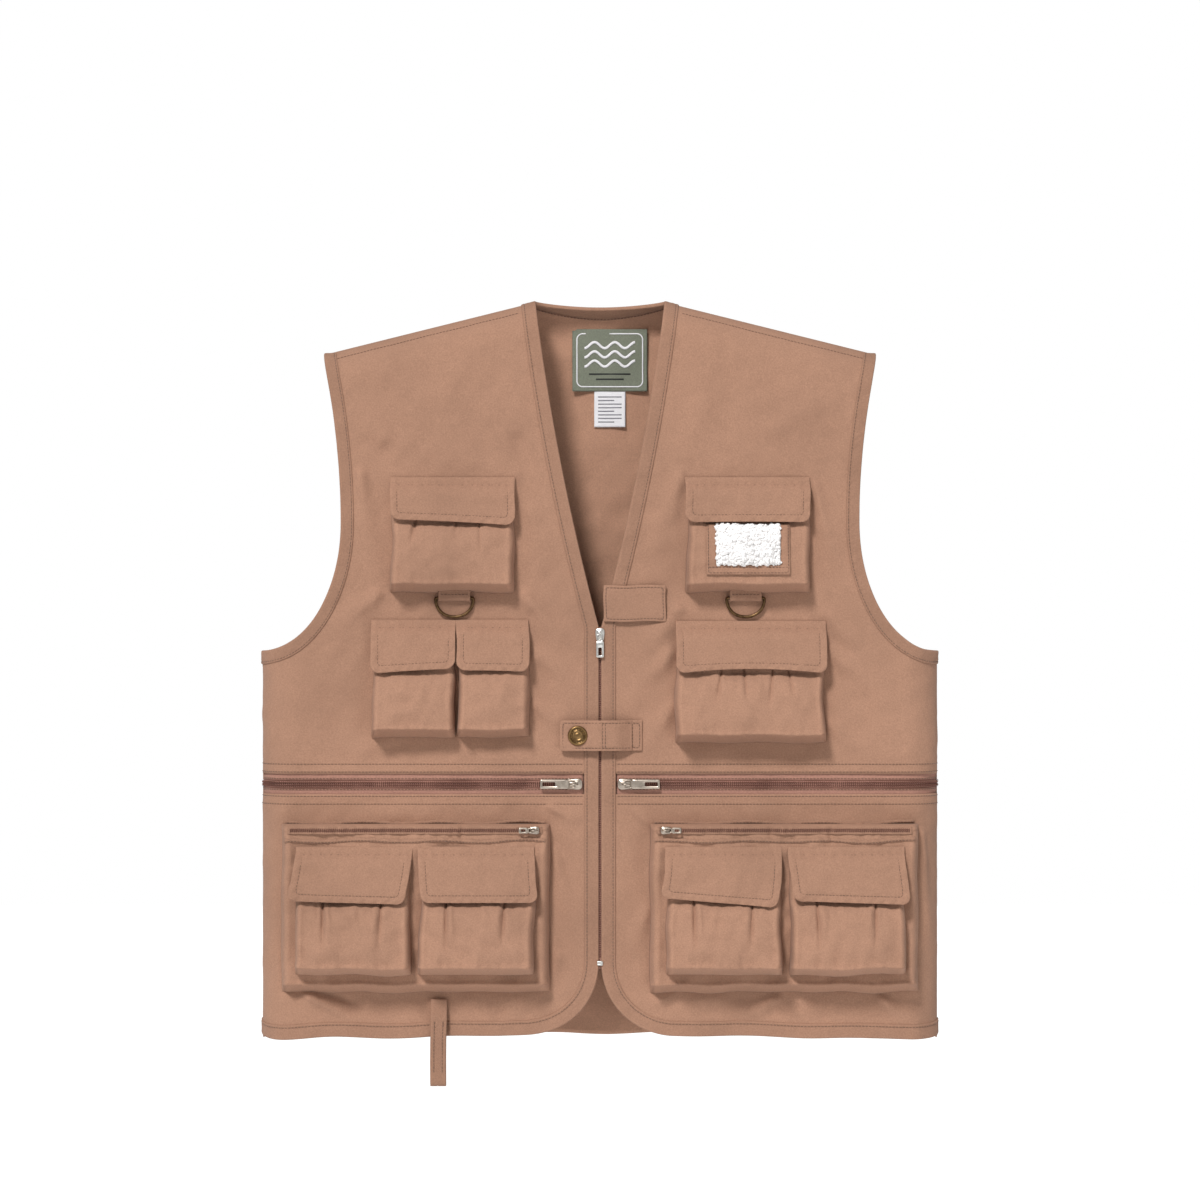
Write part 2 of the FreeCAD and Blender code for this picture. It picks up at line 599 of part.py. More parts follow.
def make_cargo_pockets():
    half = "cargo_width / 2"
    front = f"{FACE} + cargo_gusset"
    chains = []
    for side, sign in (("left", ""), ("right", "-")):
        middle = f"{sign}cargo_center"
        make_pouch("cargo_pocket_" + side, middle, "cargo_width", "cargo_level", "cargo_bottom",
                   "cargo_gusset", "cargo_gusset", FACE)
        lid = box("cargo_lid_" + side,
                  (f"{middle} - {half} + pocket_cloth", f"{middle} + {half} - pocket_cloth"),
                  (f"-({front}) + pocket_cloth", f"-({FACE})"),
                  ("-cargo_level - pocket_cloth", "-cargo_level"))
        bag = NODES.pop()
        bag.Label = "cargo_bag_" + side
        node(fuse("cargo_case_" + side, bag, lid), "cargo_pocket_" + side)
        for place, shift in (("inner", "-"), ("outer", "+")):
            center = f"{sign}(cargo_center {shift} pouch_pitch / 2)"
            make_pocket(f"cargo_{place}_{side}", center, "pouch_width", "pouch_level", "pouch_bottom",
                        "pouch_gusset", "pouch_flap", front)
        strip = box("cargo_strip_" + side, (f"{middle} - {half} + 6", f"{middle} + {half} - 6"),
                    (f"-({front}) - 0.6", f"-({front})"), ("-cargo_level - cargo_zip_width", "-cargo_level"))
        coil = box("cargo_coil_" + side, (f"{middle} - {half} + 8", f"{middle} + {half} - 8"),
                   (f"-({front}) - 0.6 - coil_thick", f"-({front}) - 0.6"),
                   ("-cargo_level - cargo_zip_width / 2 - 1.6", "-cargo_level - cargo_zip_width / 2 + 1.6"))
        chains.append(fuse("cargo_chain_" + side, strip, coil))
    node(group("cargo_zip_pair", *chains), "cargo_zip_chains")


# ------------------------------------------------------------------ zip sliders and pulls
OUTWARD = {
    "left": Rotation(),
    "right": Rotation(Vector(0, 1, 0), 180),
    "down": Rotation(Vector(0, 1, 0), 90),
}


def make_slider(label, kind, way, skirt, skirt_width, x, y, z):
    """Slider: plate with two side flanges and an arch. Built with its travel along X, face to -Y."""
    length = f"{kind}_slider_length"
    width = f"{kind}_slider_width"
    bar = "arch_height - slider_plate / 2"
    plate = box(label + "_plate", (f"-{length} / 2", f"{length} / 2"), ("-slider_plate", "0"),
                (f"-{width} / 2", f"{width} / 2"))
    pieces = [plate]
    for number, edge in enumerate(skirt_width):
        pieces.append(box(f"{label}_skirt_{number}", (f"-{length} / 2 + 1", f"{length} / 2 - 1"),
                          ("0", skirt), edge))
    arch = box(label + "_arch", ("-arch_length / 2", "arch_length / 2"),
               ("-slider_plate - arch_height", "-slider_plate"), ("-arch_width / 2", "arch_width / 2"))
    eye = box(label + "_eye", ("-arch_length / 2 + 1", "arch_length / 2 - 1"),
              (f"-slider_plate - ({bar})", "-slider_plate + 0.1"), ("-arch_width", "arch_width"))
    floor = box(label + "_floor", ("-arch_length / 2 + 1", "arch_length / 2 - 1"), ("-slider_plate", "-0.1"),
                ("-arch_width / 2", "arch_width / 2"))
    loop = cut(label + "_loop", arch, eye)
    slider = fuse(label + "_body", *pieces, floor, loop)
    slider.Placement = Placement(Vector(), OUTWARD[way])
    bind(slider, at_x=x, at_y=y, at_z=z)
    node(slider, label)


def make_pull(label, kind, way, x, y, z):
    """Pull: a plate with an eye at its crossbar and a slot at its free end, lying along +X."""
    length = f"{kind}_pull_length"
    width = f"{kind}_pull_width"
    bar = cylinder(label + "_bar", "pull_wire / 2", width, Rotation(), "0", "0", f"-{width} / 2")
    plate = box(label + "_plate", ("0", length), ("-pull_thick / 2", "pull_thick / 2"),
                (f"-{width} / 2", f"{width} / 2"))
    eye = box(label + "_eye", ("pull_wire / 2", "pull_wire / 2 + arch_length / 2 + 1.5"),
              ("-pull_wire", "pull_wire"), ("-arch_width / 2 - 0.5", "arch_width / 2 + 0.5"))
    slot = box(label + "_slot", (f"{length} * 0.62", f"{length} - 2"), ("-pull_wire", "pull_wire"),
               (f"-{width} / 5", f"{width} / 5"))
    pull = cut(label + "_body", cut(label + "_open", fuse(label + "_solid", bar, plate), eye), slot)
    pull.Placement = Placement(Vector(), OUTWARD[way])
    bind(pull, at_x=x, at_y=y, at_z=z)
    node(pull, label)


def make_slider_and_pull(name, kind, way, skirt, skirt_width, x, z, face):
    """A slider on a face at a depth, with its pull's crossbar in the arch."""
    make_slider(name + "_slider", kind, way, skirt, skirt_width, x, f"-({face})", z)
    make_pull(name + "_pull", kind, way, x, f"-({face}) - slider_plate - clearance - pull_wire / 2 + 0.1", z)


def make_sliders():
    keel = [("-front_slit / 2 + 0.7", "front_slit / 2 - 0.7")]
    make_slider_and_pull("front_zip", "front", "down", "band_thick + clearance - 0.5", keel, "0",
                         "-vee_depth - front_slider_length / 2 - 1", f"{FACE} + band_thick + clearance")
    for kind, coil_half, base in (("yoke", "yoke_coil_width / 2", f"{FACE} - cloth"),
                                  ("cargo", "1.6", f"{FACE} + cargo_gusset + 0.6")):
        edge = f"{kind}_slider_width / 2"
        flanges = [(f"{coil_half} + clearance", edge), (f"-{edge}", f"-({coil_half} + clearance)")]
        for side, sign in (("left", ""), ("right", "-")):
            if kind == "yoke":
                name, x, z = "cross_zip_" + side, f"{sign}yoke_slider_start", "-yoke_level"
            else:
                name = "cargo_zip_" + side
                x = f"{sign}(cargo_center - cargo_width / 2 + cargo_slider_inset)"
                z = "-cargo_level - cargo_zip_width / 2"
            make_slider_and_pull(name, kind, side, "coil_thick", flanges, x, z,
                                 f"{base} + coil_thick + clearance")


# ------------------------------------------------------------------ rings, strap, tab, snap, loop, labels
ALONG_X = Rotation(Vector(0, 1, 0), 90)
TO_FRONT = Rotation(Vector(1, 0, 0), 90)               # a cylinder's axis turned to -Y


def make_rings():
    """D-rings hanging in folded tabs under the upper pockets."""
    radius = "(ring_width - ring_wire) / 2"
    deep = f"{FACE} + pocket_cloth + clearance + ring_wire / 2"
    tabs = []
    for side, sign in (("left", ""), ("right", "-")):
        center = f"{sign}ring_center"
        bar = cylinder("ring_bar_" + side, "ring_wire / 2", f"2 * {radius}", ALONG_X, f"{center} - {radius}",
                       f"-({deep})", "-ring_level")
        bow = doc.addObject("Part::Torus", "ring_bow_" + side)
        bow.Placement = Placement(Vector(), Rotation(Vector(1, 0, 0), -90))
        bind(bow, Radius1=radius, Radius2="ring_wire / 2", Angle3="180", at_x=center, at_y=f"-({deep})",
             at_z="-ring_level")
        ends = []
        for number, shift in enumerate(("-", "+")):
            ball = doc.addObject("Part::Sphere", f"ring_end_{side}_{number}")
            ends.append(bind(ball, Radius="ring_wire / 2", at_x=f"{center} {shift} {radius}",
                             at_y=f"-({deep})", at_z="-ring_level"))
        node(fuse("ring_wire_" + side, bar, bow, *ends), "d_ring_" + side)
        wall = "ring_wire / 2 + clearance + pocket_cloth"
        strap = box("ring_tab_" + side, (f"{center} - ring_tab_width / 2", f"{center} + ring_tab_width / 2"),
                    (f"-({deep}) - ({wall})", f"-({FACE})"), (f"-ring_level - ({wall})", "-upper_bottom"))
        hole = cylinder("ring_hole_" + side, "ring_wire / 2 + clearance", "ring_tab_width + 2", ALONG_X,
                        f"{center} - ring_tab_width / 2 - 1", f"-({deep})", "-ring_level")
        tabs.append(cut("ring_sleeve_" + side, strap, hole))
    node(group("ring_tab_pair", *tabs), "ring_tabs")


def make_closure_strap():
    """Doubled strap across the zip: sewn end, bowed bridge and snap end."""
    seat = f"{FACE} + strap_seat"
    crown = f"{FACE} + strap_bow + clearance"
    root = f"{FACE} + clearance"
    cap_edge = "-snap_offset + cap_radius + 1"
    path = [("strap_hinge - clearance", root), ("strap_hinge - strap_rise", crown),
            (f"{cap_edge} + strap_rise / 3", crown), (cap_edge, seat), ("-strap_reach", seat)]
    inside = [(x, f"-({depth})") for x, depth in path]
    outside = [(x, f"-({depth}) - strap_thick") for x, depth in reversed(path)]
    body, _ = padded_body("strap_block", "XY_Plane", inside + outside, "strap_height")
    bind(body, at_z="-strap_level")
    hole = cylinder("strap_hole", f"shank_radius + {RIVET_PLAY}", "body_depth", TO_FRONT,
                    "-snap_offset", "0", "-strap_level")
    node(cut("closure_strap_band", body, hole), "closure_strap")
    node(box("strap_end", ("strap_hinge", "strap_hinge + strap_anchor"),
             (f"-({FACE}) - strap_thick", f"-({FACE})"),
             ("-strap_level - strap_height / 2", "-strap_level + strap_height / 2")), "closure_strap_end")


def make_snap():
    """Press snap: cap with a shank, socket, stud on the right facing, and the post behind it."""
    cap_back = f"{FACE} + strap_seat + strap_thick"
    socket_back = f"{FACE} + strap_seat"
    x, z = "-snap_offset", "-strap_level"

    def disc(name, radius, height, back):
        """A disc on the snap's axis, standing to -Y from a depth."""
        return cylinder(name, radius, height, TO_FRONT, x, f"-({back})", z)

    cap = disc("cap_disc", "cap_radius", "cap_height", cap_back)
    doc.recompute()
    front_y = cap.Shape.BoundBox.YMin
    dome = doc.addObject("Part::Fillet", "cap_dome")
    dome.Base = cap
    rounding = 0.6 * size("cap_height")
    dome.Edges = [(number, rounding, rounding) for number, edge in enumerate(cap.Shape.Edges, start=1)
                  if edge.BoundBox.YMax < front_y + 0.01]
    node(fuse("cap_solid", dome, disc("cap_shank", "shank_radius", "strap_thick", socket_back)), "snap_cap")
    socket = disc("socket_disc", "socket_radius", "socket_height", f"{socket_back} - socket_height")
    bore = disc("socket_bore", "stud_radius + clearance", "socket_height - socket_roof",
                f"{socket_back} - socket_height")
    node(cut("socket_solid", socket, bore), "snap_socket")
    base = disc("stud_disc", "stud_base_radius", "stud_base", FACE)
    post = disc("stud_post", "stud_radius", "strap_seat - 2 * socket_roof", FACE)
    node(fuse("stud_solid", base, post), "snap_stud")
    flange = disc("post_disc", "post_radius", "post_thick", f"{FACE} - cloth - post_thick")
    rivet = disc("post_rivet", "shank_radius", "cloth", f"{FACE} - cloth")
    node(fuse("post_solid", flange, rivet), "snap_post")


def make_keeper_tab():
    """Doubled tab sewn beside the zip, its free end to the wearer's left."""
    near = f"{FACE} + band_thick + 2 * clearance"
    tab = plate_body("keeper_plate", "keeper_width", "keeper_height", "keeper_thick")
    bind(tab, at_x="keeper_start + keeper_width / 2", at_y=f"-({near})",
         at_z="-keeper_level + keeper_height / 2")
    node(tab, "keeper_tab")


def make_rod_loop():
    """Webbing loop hanging below the right cargo pocket, its two layers a little apart."""
    near = "band_thick + clearance"
    far = f"{near} + loop_gap + 2 * loop_cloth"
    ring = [(f"-({near})", "0"), (f"-({near}) - 2 * loop_cloth", "0"), (f"-({far})", "-12"),
            (f"-({far})", "-loop_length + 1.5"), (f"-({far}) + 1.5", "-loop_length"),
            (f"-({near}) - 1.5", "-loop_length"), (f"-({near})", "-loop_length + 1.5")]
    body, pad = padded_body("loop_block", "YZ_Plane", ring, "loop_width")
    gap = outline_sketch(body, "loop_gap_outline", "YZ_Plane", [
        (f"-({near}) - loop_cloth", "-6"), (f"-({near}) - loop_cloth - 1", "-6"),
        (f"-({far}) + loop_cloth", "-14"), (f"-({far}) + loop_cloth", "-loop_length + 2 * loop_cloth"),
        (f"-({near}) - loop_cloth", "-loop_length + 2 * loop_cloth")])
    pocket = body.newObject("PartDesign::Pocket", "loop_gap_cut")
    pocket.Profile = gap
    pocket.SideType = "Symmetric"
    bind(pocket, Length="loop_width + 2")
    bind(body, at_x="-loop_center", at_y=f"-({FACE})", at_z="-loop_level")
    node(body, "rod_loop")


def make_labels():
    inside = f"{FACE} - cloth - label_stand"
    label = plate_body("label_plate", "label_width", "label_height", "label_thick")
    bind(label, at_x="label_center", at_y=inside, at_z="-label_level")
    node(label, "neck_label")
    care = plate_body("care_plate", "care_width", "care_height + care_tuck", "label_thick")
    bind(care, at_x="label_center", at_y=f"{inside} + label_thick + 0.2",
         at_z="-label_level - label_height + care_tuck")
    node(care, "care_label")


# ------------------------------------------------------------------ build, check, write
def check_document():
    """Stop on any failed object, then on any sub-part without a valid solid."""
    doc.recompute()
    failed = [thing.Name for thing in doc.Objects if {"Invalid", "Error"} & set(thing.State)]
    if failed:
        raise RuntimeError("failed objects: " + ", ".join(failed))
    for thing in NODES:
        shape = thing.Shape
        if shape.isNull() or not shape.isValid() or not shape.Solids:
            raise RuntimeError("bad shape: " + thing.Label)
    labels = [thing.Label for thing in NODES]
    if len(set(labels)) != len(labels) or len(labels) > 60:
        raise RuntimeError(f"{len(labels)} nodes, {len(set(labels))} labels")


def write_parts():
    os.makedirs("parts", exist_ok=True)
    for thing in NODES:
        thing.Shape.exportStep(f"parts/{thing.Label}.step")
        bounds = thing.Shape.BoundBox
        print(f"{thing.Label:24s} {len(thing.Shape.Solids)} solid {thing.Shape.Volume:10.1f} mm3  "
              f"x {bounds.XMin:7.1f} {bounds.XMax:7.1f}  y {bounds.YMin:6.1f} {bounds.YMax:6.1f}  "
              f"z {bounds.ZMin:7.1f} {bounds.ZMax:7.1f}")
    print(len(NODES), "nodes")


make_panels()
make_facings()
make_cross_zips()
make_front_zip()
make_chest_pockets()
make_fly_patch()
make_cargo_pockets()
make_sliders()
make_rings()
make_closure_strap()
make_snap()
make_keeper_tab()
make_rod_loop()
make_labels()
check_document()
write_parts()
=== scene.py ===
"""Fishing vest: the visual model, built as cloth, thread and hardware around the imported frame.

Lengths inside the making functions are millimetres in the frame's axes: +Z up, front to -Y, the
wearer's left +X. They become metres when a mesh is made.
"""
import bpy
import math
import mathutils
import numpy as np
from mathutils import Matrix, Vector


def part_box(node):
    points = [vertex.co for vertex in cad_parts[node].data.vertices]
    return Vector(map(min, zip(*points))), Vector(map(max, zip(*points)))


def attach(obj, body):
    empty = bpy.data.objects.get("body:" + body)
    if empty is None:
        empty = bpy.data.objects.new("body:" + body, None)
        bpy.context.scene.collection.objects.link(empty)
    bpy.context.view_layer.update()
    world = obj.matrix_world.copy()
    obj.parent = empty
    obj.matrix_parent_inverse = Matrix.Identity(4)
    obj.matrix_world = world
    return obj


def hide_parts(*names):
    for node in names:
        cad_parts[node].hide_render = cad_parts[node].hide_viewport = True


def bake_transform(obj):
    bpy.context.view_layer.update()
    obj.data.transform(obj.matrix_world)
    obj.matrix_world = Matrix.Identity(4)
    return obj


bl_info = {
    "name": "Fishing Vest",
    "version": (1, 0, 0),
    "blender": (4, 5, 0),
    "location": "View3D > Sidebar > Vest",
    "description": "Builds a fishing vest in cloth, thread and metal around its packed frame",
    "category": "Object",
}

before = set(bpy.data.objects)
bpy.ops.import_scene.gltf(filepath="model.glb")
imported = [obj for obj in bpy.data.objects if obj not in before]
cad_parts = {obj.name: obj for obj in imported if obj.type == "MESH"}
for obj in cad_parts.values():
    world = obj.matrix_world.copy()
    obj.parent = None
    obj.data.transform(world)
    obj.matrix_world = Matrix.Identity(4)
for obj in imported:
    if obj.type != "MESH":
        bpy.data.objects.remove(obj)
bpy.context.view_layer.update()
MM = 0.001


def node_box(name):
    """Low and high corners of a frame node, in millimetres."""
    low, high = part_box(name)
    return np.array(low) / MM, np.array(high) / MM


# ------------------------------------------------------------------ sizes read from the frame
BACK_LOW, BACK_HIGH = node_box("back_panel")
UPPER_LOW = node_box("front_upper_left")[0]
LOWER_LOW, LOWER_HIGH = node_box("front_lower_left")
BINDING_LOW = node_box("armhole_binding_left")[0]
ROUND = BACK_HIGH[1]                       # radius of the side and shoulder rounding
ARCH = ROUND * math.pi / 2                 # cloth that a quarter of that rounding takes
SIDE_X = BACK_HIGH[0] - ROUND
GIRTH = SIDE_X + ARCH                      # cloth from the middle to the side seam
HEM_Z = LOWER_LOW[2]
BACK_HEM_Z = BACK_LOW[2]
EDGE_X = UPPER_LOW[0]
BAND = 12.0                                # widths of the front facing, neck band and armhole binding
NECK_BAND = 9.0
BINDING = 11.0
NECK_X = node_box("back_neck_band")[1][0] - 7.4
VEE_Z = node_box("front_zip_chain")[1][2]
CORNER = 62.0                              # radius of the fronts' lower corners
TIP_X = 237.0                              # shoulder tip
TIP_Z = -45.0
SLOPE = -TIP_Z / (TIP_X - NECK_X)
WAIST_X = BINDING_LOW[0] + BINDING
WAIST_Z = -190.0
UNDER_Z = BINDING_LOW[2] + BINDING
YOKE_TOP = UPPER_LOW[2]
YOKE_LOW = LOWER_HIGH[2]
VEE_BULGE = 5.0                            # how far the V's edges and the back neck bow
NECK_DROP = 4.0
FRONT, BACK = -1, 1                        # the faces of the garment
SEAM_STEP = 2.9                            # length of one stitch with its gap
FINE_STEP = 2.6                            # the same on the small pieces


# ------------------------------------------------------------------ meshes from arrays
def outward(points, faces):
    """Faces of a closed shape, turned round where they enclose a negative volume, so that they point out."""
    whole = np.where(faces < 0, faces[:, 2:3], faces)
    first, second, third, fourth = (points[whole[:, corner]] - points.mean(0) for corner in range(4))
    volume = (first * (np.cross(second, third) + np.cross(third, fourth))).sum()
    if volume >= 0:
        return faces
    return np.where(faces[:, 3:] < 0, faces[:, [2, 1, 0, 3]], faces[:, ::-1])


class Builder:
    """Collects grids and loose shapes, then makes one mesh with a cloth UV map and an edge attribute."""

    def __init__(self):
        self.points, self.faces, self.maps, self.edges = [], [], [], []
        self.count = 0

    def add(self, points, faces, flat=None, edge=None):
        points = np.asarray(points, float).reshape(-1, 3)
        flat = points[:, [0, 2]] if flat is None else np.asarray(flat, float).reshape(-1, 2)
        edge = np.zeros(len(points)) if edge is None else np.asarray(edge, float).reshape(-1)
        self.points.append(points)
        faces = outward(points, np.asarray(faces))
        self.faces.append(np.where(faces < 0, -1, faces + self.count))
        self.maps.append(flat)
        self.edges.append(edge)
        self.count += len(points)

    def make(self, name, material, body, smooth=True, replaces=(), slot=None):
        points = np.concatenate(self.points) * MM
        faces = np.concatenate([part.reshape(-1, 4) for part in self.faces])
        mesh = bpy.data.meshes.new(name)
        mesh.from_pydata(points.tolist(), [], [row if row[3] >= 0 else row[:3] for row in faces.tolist()])
        mesh.update()
        flat = np.concatenate(self.maps) * MM
        layer = mesh.uv_layers.new(name="cloth")
        corner = np.empty(len(mesh.loops), dtype=np.int32)
        mesh.loops.foreach_get("vertex_index", corner)
        layer.data.foreach_set("uv", flat[corner].ravel())
        # edge mask: the cloth is painted paler along its edges and folds, partly as wear and partly as a painted
        # highlight
        edge = mesh.attributes.new("edge", "FLOAT", "POINT")
        edge.data.foreach_set("value", np.concatenate(self.edges))
        mesh.polygons.foreach_set("use_smooth", np.full(len(mesh.polygons), smooth))
        mesh.materials.append(material)
        thing = bpy.data.objects.new(name, mesh)
        bpy.context.scene.collection.objects.link(thing)
        if body:
            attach(thing, body)
        if replaces:
            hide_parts(*replaces)
        return thing


def grid_faces(rows, columns, wrap_rows=False, wrap_columns=False):
    """Quads of a grid whose points are stored row by row; either direction may close on itself."""
    down = np.arange(rows if wrap_rows else rows - 1)
    along = np.arange(columns if wrap_columns else columns - 1)
    row, column = np.meshgrid(down, along, indexing="ij")
    after = (row + 1) % rows
    beside = (column + 1) % columns
    return np.stack([row * columns + column, after * columns + column,
                     after * columns + beside, row * columns + beside], axis=-1).reshape(-1, 4)


def border(rows, columns):
    """Indices round the outside of a grid, in order."""
    top = np.arange(columns)
    right = np.arange(1, rows) * columns + columns - 1
    bottom = (rows - 1) * columns + np.arange(columns - 2, -1, -1)
    left = np.arange(rows - 2, 0, -1) * columns
    return np.concatenate([top, right, bottom, left])


def normals_of(points):
    """Unit normals of a grid of points, from central differences; front faces give -Y."""
    down = np.gradient(points, axis=0)
    along = np.gradient(points, axis=1)
    normal = np.cross(down, along)
    length = np.linalg.norm(normal, axis=-1, keepdims=True)
    return normal / np.maximum(length, 1e-9)


def add_plate(builder, middle, thick, flat=None, edge=None):
    """A closed sheet about a middle surface: two offset grids joined by a rim."""
    rows, columns = middle.shape[:2]
    normals = normals_of(middle)
    half = np.asarray(thick)[..., None] / 2 if np.ndim(thick) else thick / 2
    front = (middle + normals * half).reshape(-1, 3)
    back = (middle - normals * half).reshape(-1, 3)
    ring = border(rows, columns)
    following = np.roll(ring, -1)
    size = rows * columns
    rim = np.stack([ring, following, following + size, ring + size], axis=-1)
    near = grid_faces(rows, columns)
    faces = np.concatenate([near, near[:, ::-1] + size, rim])
    flat = None if flat is None else np.concatenate([flat.reshape(-1, 2)] * 2)
    edge = None if edge is None else np.concatenate([edge.reshape(-1)] * 2)
    builder.add(np.concatenate([front, back]), faces, flat, edge)


def add_tube(builder, path, radius, sides=8, closed=False, flatten=1.0, up=(0.0, 1.0, 0.0)):
    """A round or flattened tube along a path, from a moving frame kept near an up direction."""
    path = np.asarray(path, float)
    if closed:
        tangent = np.roll(path, -1, axis=0) - np.roll(path, 1, axis=0)
    else:
        tangent = np.gradient(path, axis=0)
    tangent /= np.linalg.norm(tangent, axis=1, keepdims=True)
    side = np.cross(tangent, np.asarray(up, float))
    side /= np.maximum(np.linalg.norm(side, axis=1, keepdims=True), 1e-9)
    top = np.cross(side, tangent)
    angle = np.linspace(0, 2 * math.pi, sides, endpoint=False)
    radius = np.broadcast_to(np.asarray(radius, float).reshape(-1, 1, 1), (len(path), 1, 1))
    ring = (path[:, None, :] + radius * (np.cos(angle)[None, :, None] * side[:, None, :]
            + flatten * np.sin(angle)[None, :, None] * top[:, None, :]))
    add_section(builder, ring, closed_path=closed)


def add_section(builder, points, flat=None, edge=None, closed_path=False):
    """A closed cross-section carried along a path: points is (path, section, 3), open ends are capped."""
    rows, columns = points.shape[:2]
    faces = grid_faces(rows, columns, wrap_rows=closed_path, wrap_columns=True)
    solid = points.reshape(-1, 3)
    flat = None if flat is None else flat.reshape(-1, 2)
    edge = None if edge is None else edge.reshape(-1)
    if not closed_path:
        middles = np.stack([points[0].mean(0), points[-1].mean(0)])
        first = len(solid)
        index = np.arange(columns)
        after = (index + 1) % columns
        last = (rows - 1) * columns
        none = np.full(columns, -1)
        caps = np.concatenate([np.stack([np.full(columns, first), index, after, none], -1),
                               np.stack([np.full(columns, first + 1), last + after, last + index, none], -1)])
        faces = np.concatenate([faces, caps])
        solid = np.concatenate([solid, middles])
        if flat is not None:
            flat = np.concatenate([flat, flat[:1], flat[-1:]])
        if edge is not None:
            edge = np.concatenate([edge, [0.0, 0.0]])
    builder.add(solid, faces, flat, edge)


# ------------------------------------------------------------------ curves and noise
def resample(curve, count=None, step=None):
    """Points evenly spaced along a polyline of any dimension."""
    curve = np.asarray(curve, float)
    length = np.concatenate([[0], np.cumsum(np.linalg.norm(np.diff(curve, axis=0), axis=1))])
    if count is None:
        count = max(2, int(round(length[-1] / step)) + 1)
    spots = np.linspace(0, length[-1], count)
    return np.stack([np.interp(spots, length, curve[:, axis]) for axis in range(curve.shape[1])], axis=-1)


def ripple(x, z, wavelength, seed, waves=9):
    """Smooth irregular waves: a mean of sines in seeded directions, about -1 to 1."""
    random = np.random.default_rng(seed)
    total = np.zeros(np.broadcast(x, z).shape)
    for _ in range(waves):
        heading = random.uniform(0, math.pi)
        stretch = random.uniform(0.65, 1.5) * 2 * math.pi / wavelength
        across = x * math.cos(heading) + z * math.sin(heading)
        total += np.sin(stretch * across + random.uniform(0, 2 * math.pi))
    return total / math.sqrt(waves)


def smooth_step(value):
    """0 below 0 and 1 above 1, with a level start and end between."""
    value = np.clip(value, 0, 1)
    return value * value * (3 - 2 * value)


def crease(x, z, start, end, width, height, power=1.0, from_mouth=False):
    """A fold along a line: a Gaussian ridge that fades towards its far end; from the mouth it also runs back
    past its start at full height."""
    direction = np.subtract(end, start, dtype=float)
    length = np.hypot(*direction)
    along = ((x - start[0]) * direction[0] + (z - start[1]) * direction[1]) / length**2
    held = np.clip(along, 0, 1)
    near = np.minimum(along, 1) if from_mouth else held
    gap = np.hypot(x - start[0] - near * direction[0], z - start[1] - near * direction[1])
    spread = width * (0.55 + 0.75 * held)
    return height * np.exp(-(gap / spread) ** 2) * (1 - held) ** power


# ------------------------------------------------------------------ materials
class Nodes:
    """Short hand for filling a node tree: add a node, set its inputs, link what is a socket."""

    def __init__(self, tree):
        self.tree = tree

    def add(self, kind, inputs=None, **settings):
        made = self.tree.nodes.new(kind)
        for name, value in settings.items():
            setattr(made, name, value)
        for name, value in (inputs or {}).items():
            if isinstance(value, bpy.types.NodeSocket):
                self.tree.links.new(value, made.inputs[name])
            else:
                made.inputs[name].default_value = value
        return made

    def math(self, operation, one, two=0.0):
        return self.add("ShaderNodeMath", {0: one, 1: two}, operation=operation).outputs[0]


def new_group(name, inputs, outputs):
    """A shader node group with float or colour sockets."""
    kinds = {"float": "NodeSocketFloat", "color": "NodeSocketColor"}
    tree = bpy.data.node_groups.new(name, "ShaderNodeTree")
    for socket, kind, value in inputs:
        made = tree.interface.new_socket(name=socket, in_out="INPUT", socket_type=kinds[kind])
        made.default_value = value
    for socket, kind in outputs:
        tree.interface.new_socket(name=socket, in_out="OUTPUT", socket_type=kinds[kind])
    nodes = Nodes(tree)
    return tree, nodes, nodes.add("NodeGroupInput").outputs, nodes.add("NodeGroupOutput").inputs


def noise(nodes, place, scale, detail, roughness=0.5):
    """A noise texture's value."""
    settings = {"Vector": place, "Scale": scale, "Detail": detail, "Roughness": roughness}
    return nodes.add("ShaderNodeTexNoise", settings).outputs["Fac"]


def weave_group():
    """Plain weave: the product of two sine waves over the cloth's own map, made uneven by slubs."""
    tree, nodes, given, result = new_group(
        "Weave", [("Pitch", "float", 0.0008), ("Slub", "float", 0.5)],
        [("Height", "float"), ("Tone", "float")])
    place = nodes.add("ShaderNodeUVMap", uv_map="cloth").outputs["UV"]
    axes = nodes.add("ShaderNodeSeparateXYZ", {"Vector": place}).outputs
    turn = nodes.math("DIVIDE", 2 * math.pi, given["Pitch"])
    warp = nodes.math("SINE", nodes.math("MULTIPLY", axes["X"], turn))
    weft = nodes.math("SINE", nodes.math("MULTIPLY", axes["Y"], turn))
    cross = nodes.math("MULTIPLY", warp, weft)
    slub = noise(nodes, place, 420.0, 3.0, 0.65)
    stretched = nodes.add("ShaderNodeMapping", {"Vector": place, "Scale": (1.0, 0.08, 1.0)}).outputs[0]
    thread = noise(nodes, stretched, 1500.0, 2.0)
    uneven = nodes.math("ADD", nodes.math("SUBTRACT", slub, 0.5), nodes.math("SUBTRACT", thread, 0.5))
    uneven = nodes.math("MULTIPLY", uneven, given["Slub"])
    tree.links.new(nodes.math("ADD", cross, uneven), result["Height"])
    tree.links.new(uneven, result["Tone"])
    return tree


